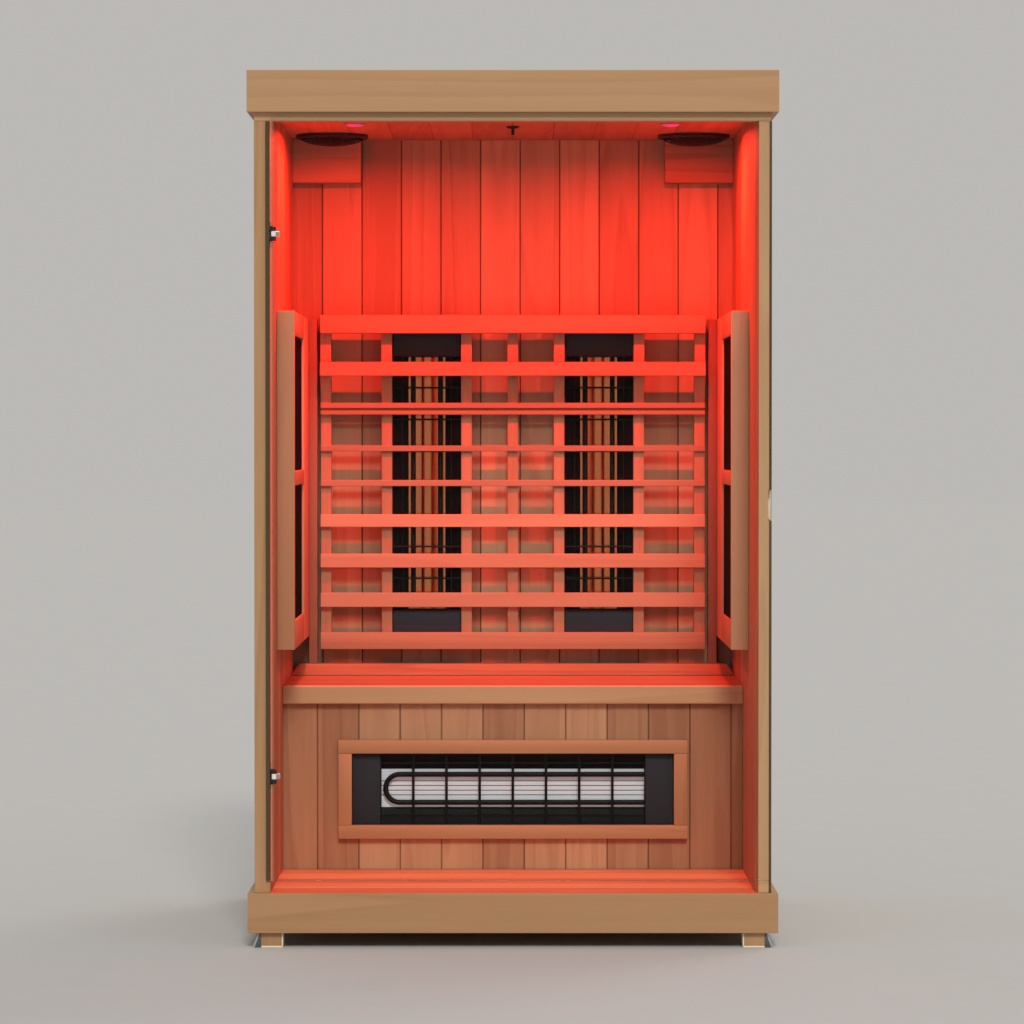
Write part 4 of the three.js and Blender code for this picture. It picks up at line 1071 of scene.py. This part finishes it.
def add_grille(bm, under, reach, drop):
    """The rings, spokes and hub of a domed grille."""
    half, face, back = GRILLE_RING_HALF, GRILLE_RING_FACE, GRILLE_RING_BACK
    for k in range(1, GRILLE_RINGS + 1):
        share = k / (GRILLE_RINGS + 1)
        at, level = reach * share, dome(share, drop)
        ring = [(at + half, level), (at, level - face), (at - half, level), (at, level + back)]
        add_turned(bm, ring + ring[:1], under, sides=64)
    for x, y in circle(1.0, GRILLE_SPOKES):
        spoke = []
        for j in range(SPOKE_STEPS + 1):
            share = SPOKE_START + (1 - SPOKE_START) * j / SPOKE_STEPS
            level = dome(share, drop) + SPOKE_LIFT
            spoke.append(under @ Vector((x * reach * share, y * reach * share, level)))
        add_tube(bm, spoke, SPOKE_RADIUS, sides=8)
    hub = [(0, -drop), (HUB_FACE_RADIUS, -drop + HUB_EDGE), (HUB_RADIUS, -drop + HUB_SIDE)]
    hub.append((0, -drop + HUB_DEPTH))
    add_turned(bm, hub, under, sides=32)


def add_cone(bm, under, radius, drop):
    rim = radius * CONE_RIM_SHARE
    cone = [(0, -drop * CONE_TIP_SHARE), (CONE_CAP_RADIUS, -drop * CONE_CAP_SHARE)]
    cone += [(CONE_NECK_RADIUS, -drop * CONE_NECK_SHARE), (rim, -CONE_RIM_DROP), (rim, 0), (0, 0)]
    add_turned(bm, cone, under, sides=64)


def make_speaker(name):
    """A rim, a domed grille of rings and spokes, and the dark cone behind it."""
    centre, half, _, high = middle(f"{name}_speaker")
    radius, drop = half.x, 2 * half.z
    reach = radius * GRILLE_SHARE
    under = Matrix.Translation((centre.x, centre.y, high.z))
    bm = bmesh.new()
    add_rim(bm, under, radius, reach)
    add_grille(bm, under, reach, drop)
    add_cone(bm, under, radius, drop)
    new_piece(f"{name}_speaker_grille", bm, black_plastic, replaces=[f"{name}_speaker"])


def make_bezel(name):
    """The ring round one ceiling light."""
    centre, half, _, high = middle(f"{name}_ceiling_light")
    radius, drop = half.x, 2 * half.z
    inner, outer = radius + FIT, radius + BEZEL_WIDTH
    ring = [(inner, 0), (outer, 0), (outer - BEZEL_EDGE, -BEZEL_SIDE), (inner, -drop * BEZEL_LIP_SHARE)]
    bm = bmesh.new()
    add_turned(bm, ring + ring[:1], Matrix.Translation((centre.x, centre.y, high.z)), sides=64)
    new_piece(f"{name}_light_bezel", bm, grey_plastic)


def make_sensor():
    """A round base with a slotted stem."""
    centre, half, _, high = middle("temperature_sensor")
    radius, drop = half.x, 2 * half.z
    stem, waist = SENSOR_STEM, SENSOR_STEM * SENSOR_WAIST_SHARE
    profile = [(0, -drop), (stem * SENSOR_TIP_SHARE, -drop), (stem, -drop + SENSOR_TIP)]
    for k in range(SENSOR_SLOTS):
        low = -drop + SLOT_START + k * SLOT_PITCH
        top = low + SLOT_HEIGHT
        profile += [(stem, low), (waist, low + SLOT_EDGE), (waist, top - SLOT_EDGE), (stem, top)]
    profile += [(radius * SENSOR_FOOT_SHARE, -SENSOR_BASE_FOOT), (radius, -SENSOR_BASE), (radius, 0)]
    profile.append((0, 0))
    bm = bmesh.new()
    add_turned(bm, profile, Matrix.Translation((centre.x, centre.y, high.z)), sides=40)
    new_piece("sensor_stem", bm, black_plastic, replaces=["temperature_sensor"])


def make_gland():
    """Flange, six-sided nut and cap round the bore of the mains inlet."""
    centre, half, low, _ = middle("mains_inlet")
    radius, tall, bore = half.x, 2 * half.z, GLAND_BORE
    on_roof = Matrix.Translation((centre.x, centre.y, low.z))
    foot, neck = GLAND_FLANGE, tall - GLAND_NECK
    flange = [(bore, 0), (radius, 0), (radius, foot - GLAND_FLANGE_EDGE)]
    flange += [(radius - GLAND_FLANGE_EDGE, foot), (bore, foot)]
    nut = [(bore, foot), (GLAND_NUT, foot), (GLAND_NUT, neck - GLAND_NUT_EDGE)]
    nut += [(GLAND_NUT_TOP, neck), (bore, neck)]
    cap = [(bore, neck), (GLAND_CAP_FOOT, neck), (GLAND_CAP_TOP, tall - GLAND_CAP_EDGE)]
    cap += [(bore + GLAND_LIP, tall), (bore, tall - GLAND_LIP)]
    bm = bmesh.new()
    for profile, sides in ((flange, 48), (nut, 6), (cap, 48)):
        add_turned(bm, profile + profile[:1], on_roof, sides)
    new_piece("roof_gland", bm, black_plastic, replaces=["mains_inlet"])


def make_right_wall_end():
    """A dark strip along the wall's outer edge as painted shade, broken by the finger notch, and a pale
    liner at the back of the notch as a painted highlight.
    """
    low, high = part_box("right_wall")
    header_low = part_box("front_header")[0].z
    spans = (("lower", low.z, NOTCH_LEVEL[0]), ("upper", NOTCH_LEVEL[1], header_low - 2 * FIT))
    # The dark strips are painted shade along the wall's outer edge
    for name, floor_z, top_z in spans:
        strip_low = (high.x - STRIP_WIDTH, low.y - STRIP_DEPTH, floor_z)
        strip_high = (high.x + FIT, low.y, top_z)
        board(f"right_edge_strip_{name}", strip_low, strip_high, edge_shade_timber, "lining_timber", FIT)
    # The pale liner at the back of the notch paints the highlight seen there
    inner_x, outer_x = high.x - NOTCH_DEPTH + FIT, high.x - FIT
    floor_z, top_z = NOTCH_LEVEL[0] + FIT, NOTCH_LEVEL[1] - FIT
    liner = [(inner_x, floor_z + NOTCH_SLOPE), (outer_x, floor_z), (outer_x, top_z), (inner_x, top_z)]
    back_y = low.y + NOTCH_LENGTH - FIT
    bm = bmesh.new()
    add_prism(bm, liner, Y, (back_y - LINER, back_y), LINER_EDGE)
    new_piece("finger_notch_liner", bm, pale_plastic)


# Studio


def link(name, data, place=(0, 0, 0)):
    made = bpy.data.objects.new(name, data)
    made.location = place
    bpy.context.scene.collection.objects.link(made)
    return made


def make_sun(name, direction, strength, softness):
    """A soft, far light that comes from a direction."""
    sun = bpy.data.lights.new(name, "SUN")
    sun.energy = strength
    sun.color = SUN_COLOUR
    sun.angle = softness
    link(name, sun, direction).rotation_euler = direction.to_track_quat("Z", "Y").to_euler()


def make_lights(floor):
    leave_out = bpy.data.collections.new("outside_the_cabin")
    leave_out.objects.link(floor)
    leave_out.collection_objects[0].light_linking.link_state = "EXCLUDE"
    make_sun("key", KEY_DIRECTION, KEY_STRENGTH, KEY_SOFTNESS)
    make_sun("rim", RIM_DIRECTION, RIM_STRENGTH, RIM_SOFTNESS)
    for name, side in SIDES:
        centre, _, low, _ = middle(f"{name}_ceiling_light")
        led = bpy.data.lights.new(f"{name}_led", "AREA")
        led.shape = "DISK"
        led.size = LED_DIAMETER
        led.energy = LED_POWER
        led.color = LED_COLOUR
        led.spread = LED_SPREAD
        lamp = link(f"{name}_led", led, (centre.x, centre.y, low.z - LED_DROP))
        lamp.visible_camera = False
        lamp.light_linking.receiver_collection = leave_out
    world = bpy.data.worlds.new("studio")
    world.use_nodes = True
    world.node_tree.nodes["Background"].inputs[0].default_value = WORLD_COLOUR
    world.node_tree.nodes["Background"].inputs[1].default_value = WORLD_STRENGTH
    bpy.context.scene.world = world


def make_floor():
    bm = bmesh.new()
    bmesh.ops.create_grid(bm, size=FLOOR_REACH)
    mesh = bpy.data.meshes.new("studio_floor")
    bm.to_mesh(mesh)
    bm.free()
    mesh.materials.append(mottled("studio_floor", FLOOR_COLOUR, 0.965, 0.8, 6.0, bump=0.0, specular=0.2))
    floor = link("studio_floor", mesh)
    return floor


def make_camera():
    camera = link("camera", bpy.data.cameras.new("camera"), CAMERA_PLACE)
    camera.rotation_euler = (math.pi / 2 - CAMERA_TILT, 0, 0)
    camera.data.lens = CAMERA_LENS
    camera.data.clip_end = CAMERA_REACH
    bpy.context.scene.camera = camera
    bpy.context.scene.view_settings.view_transform = "Standard"


make_camera()
make_lights(make_floor())
dress_shell()
dress_inside()
make_calf_surround()
make_backrest()
make_heaters()
for name, side in SIDES:
    make_side_frame(name, side)
    make_speaker(name)
    make_bezel(name)
    make_foot("front", name, side)
    make_foot("rear", name, side)
make_hinge("upper")
make_hinge("lower")
make_sensor()
make_gland()
make_right_wall_end()
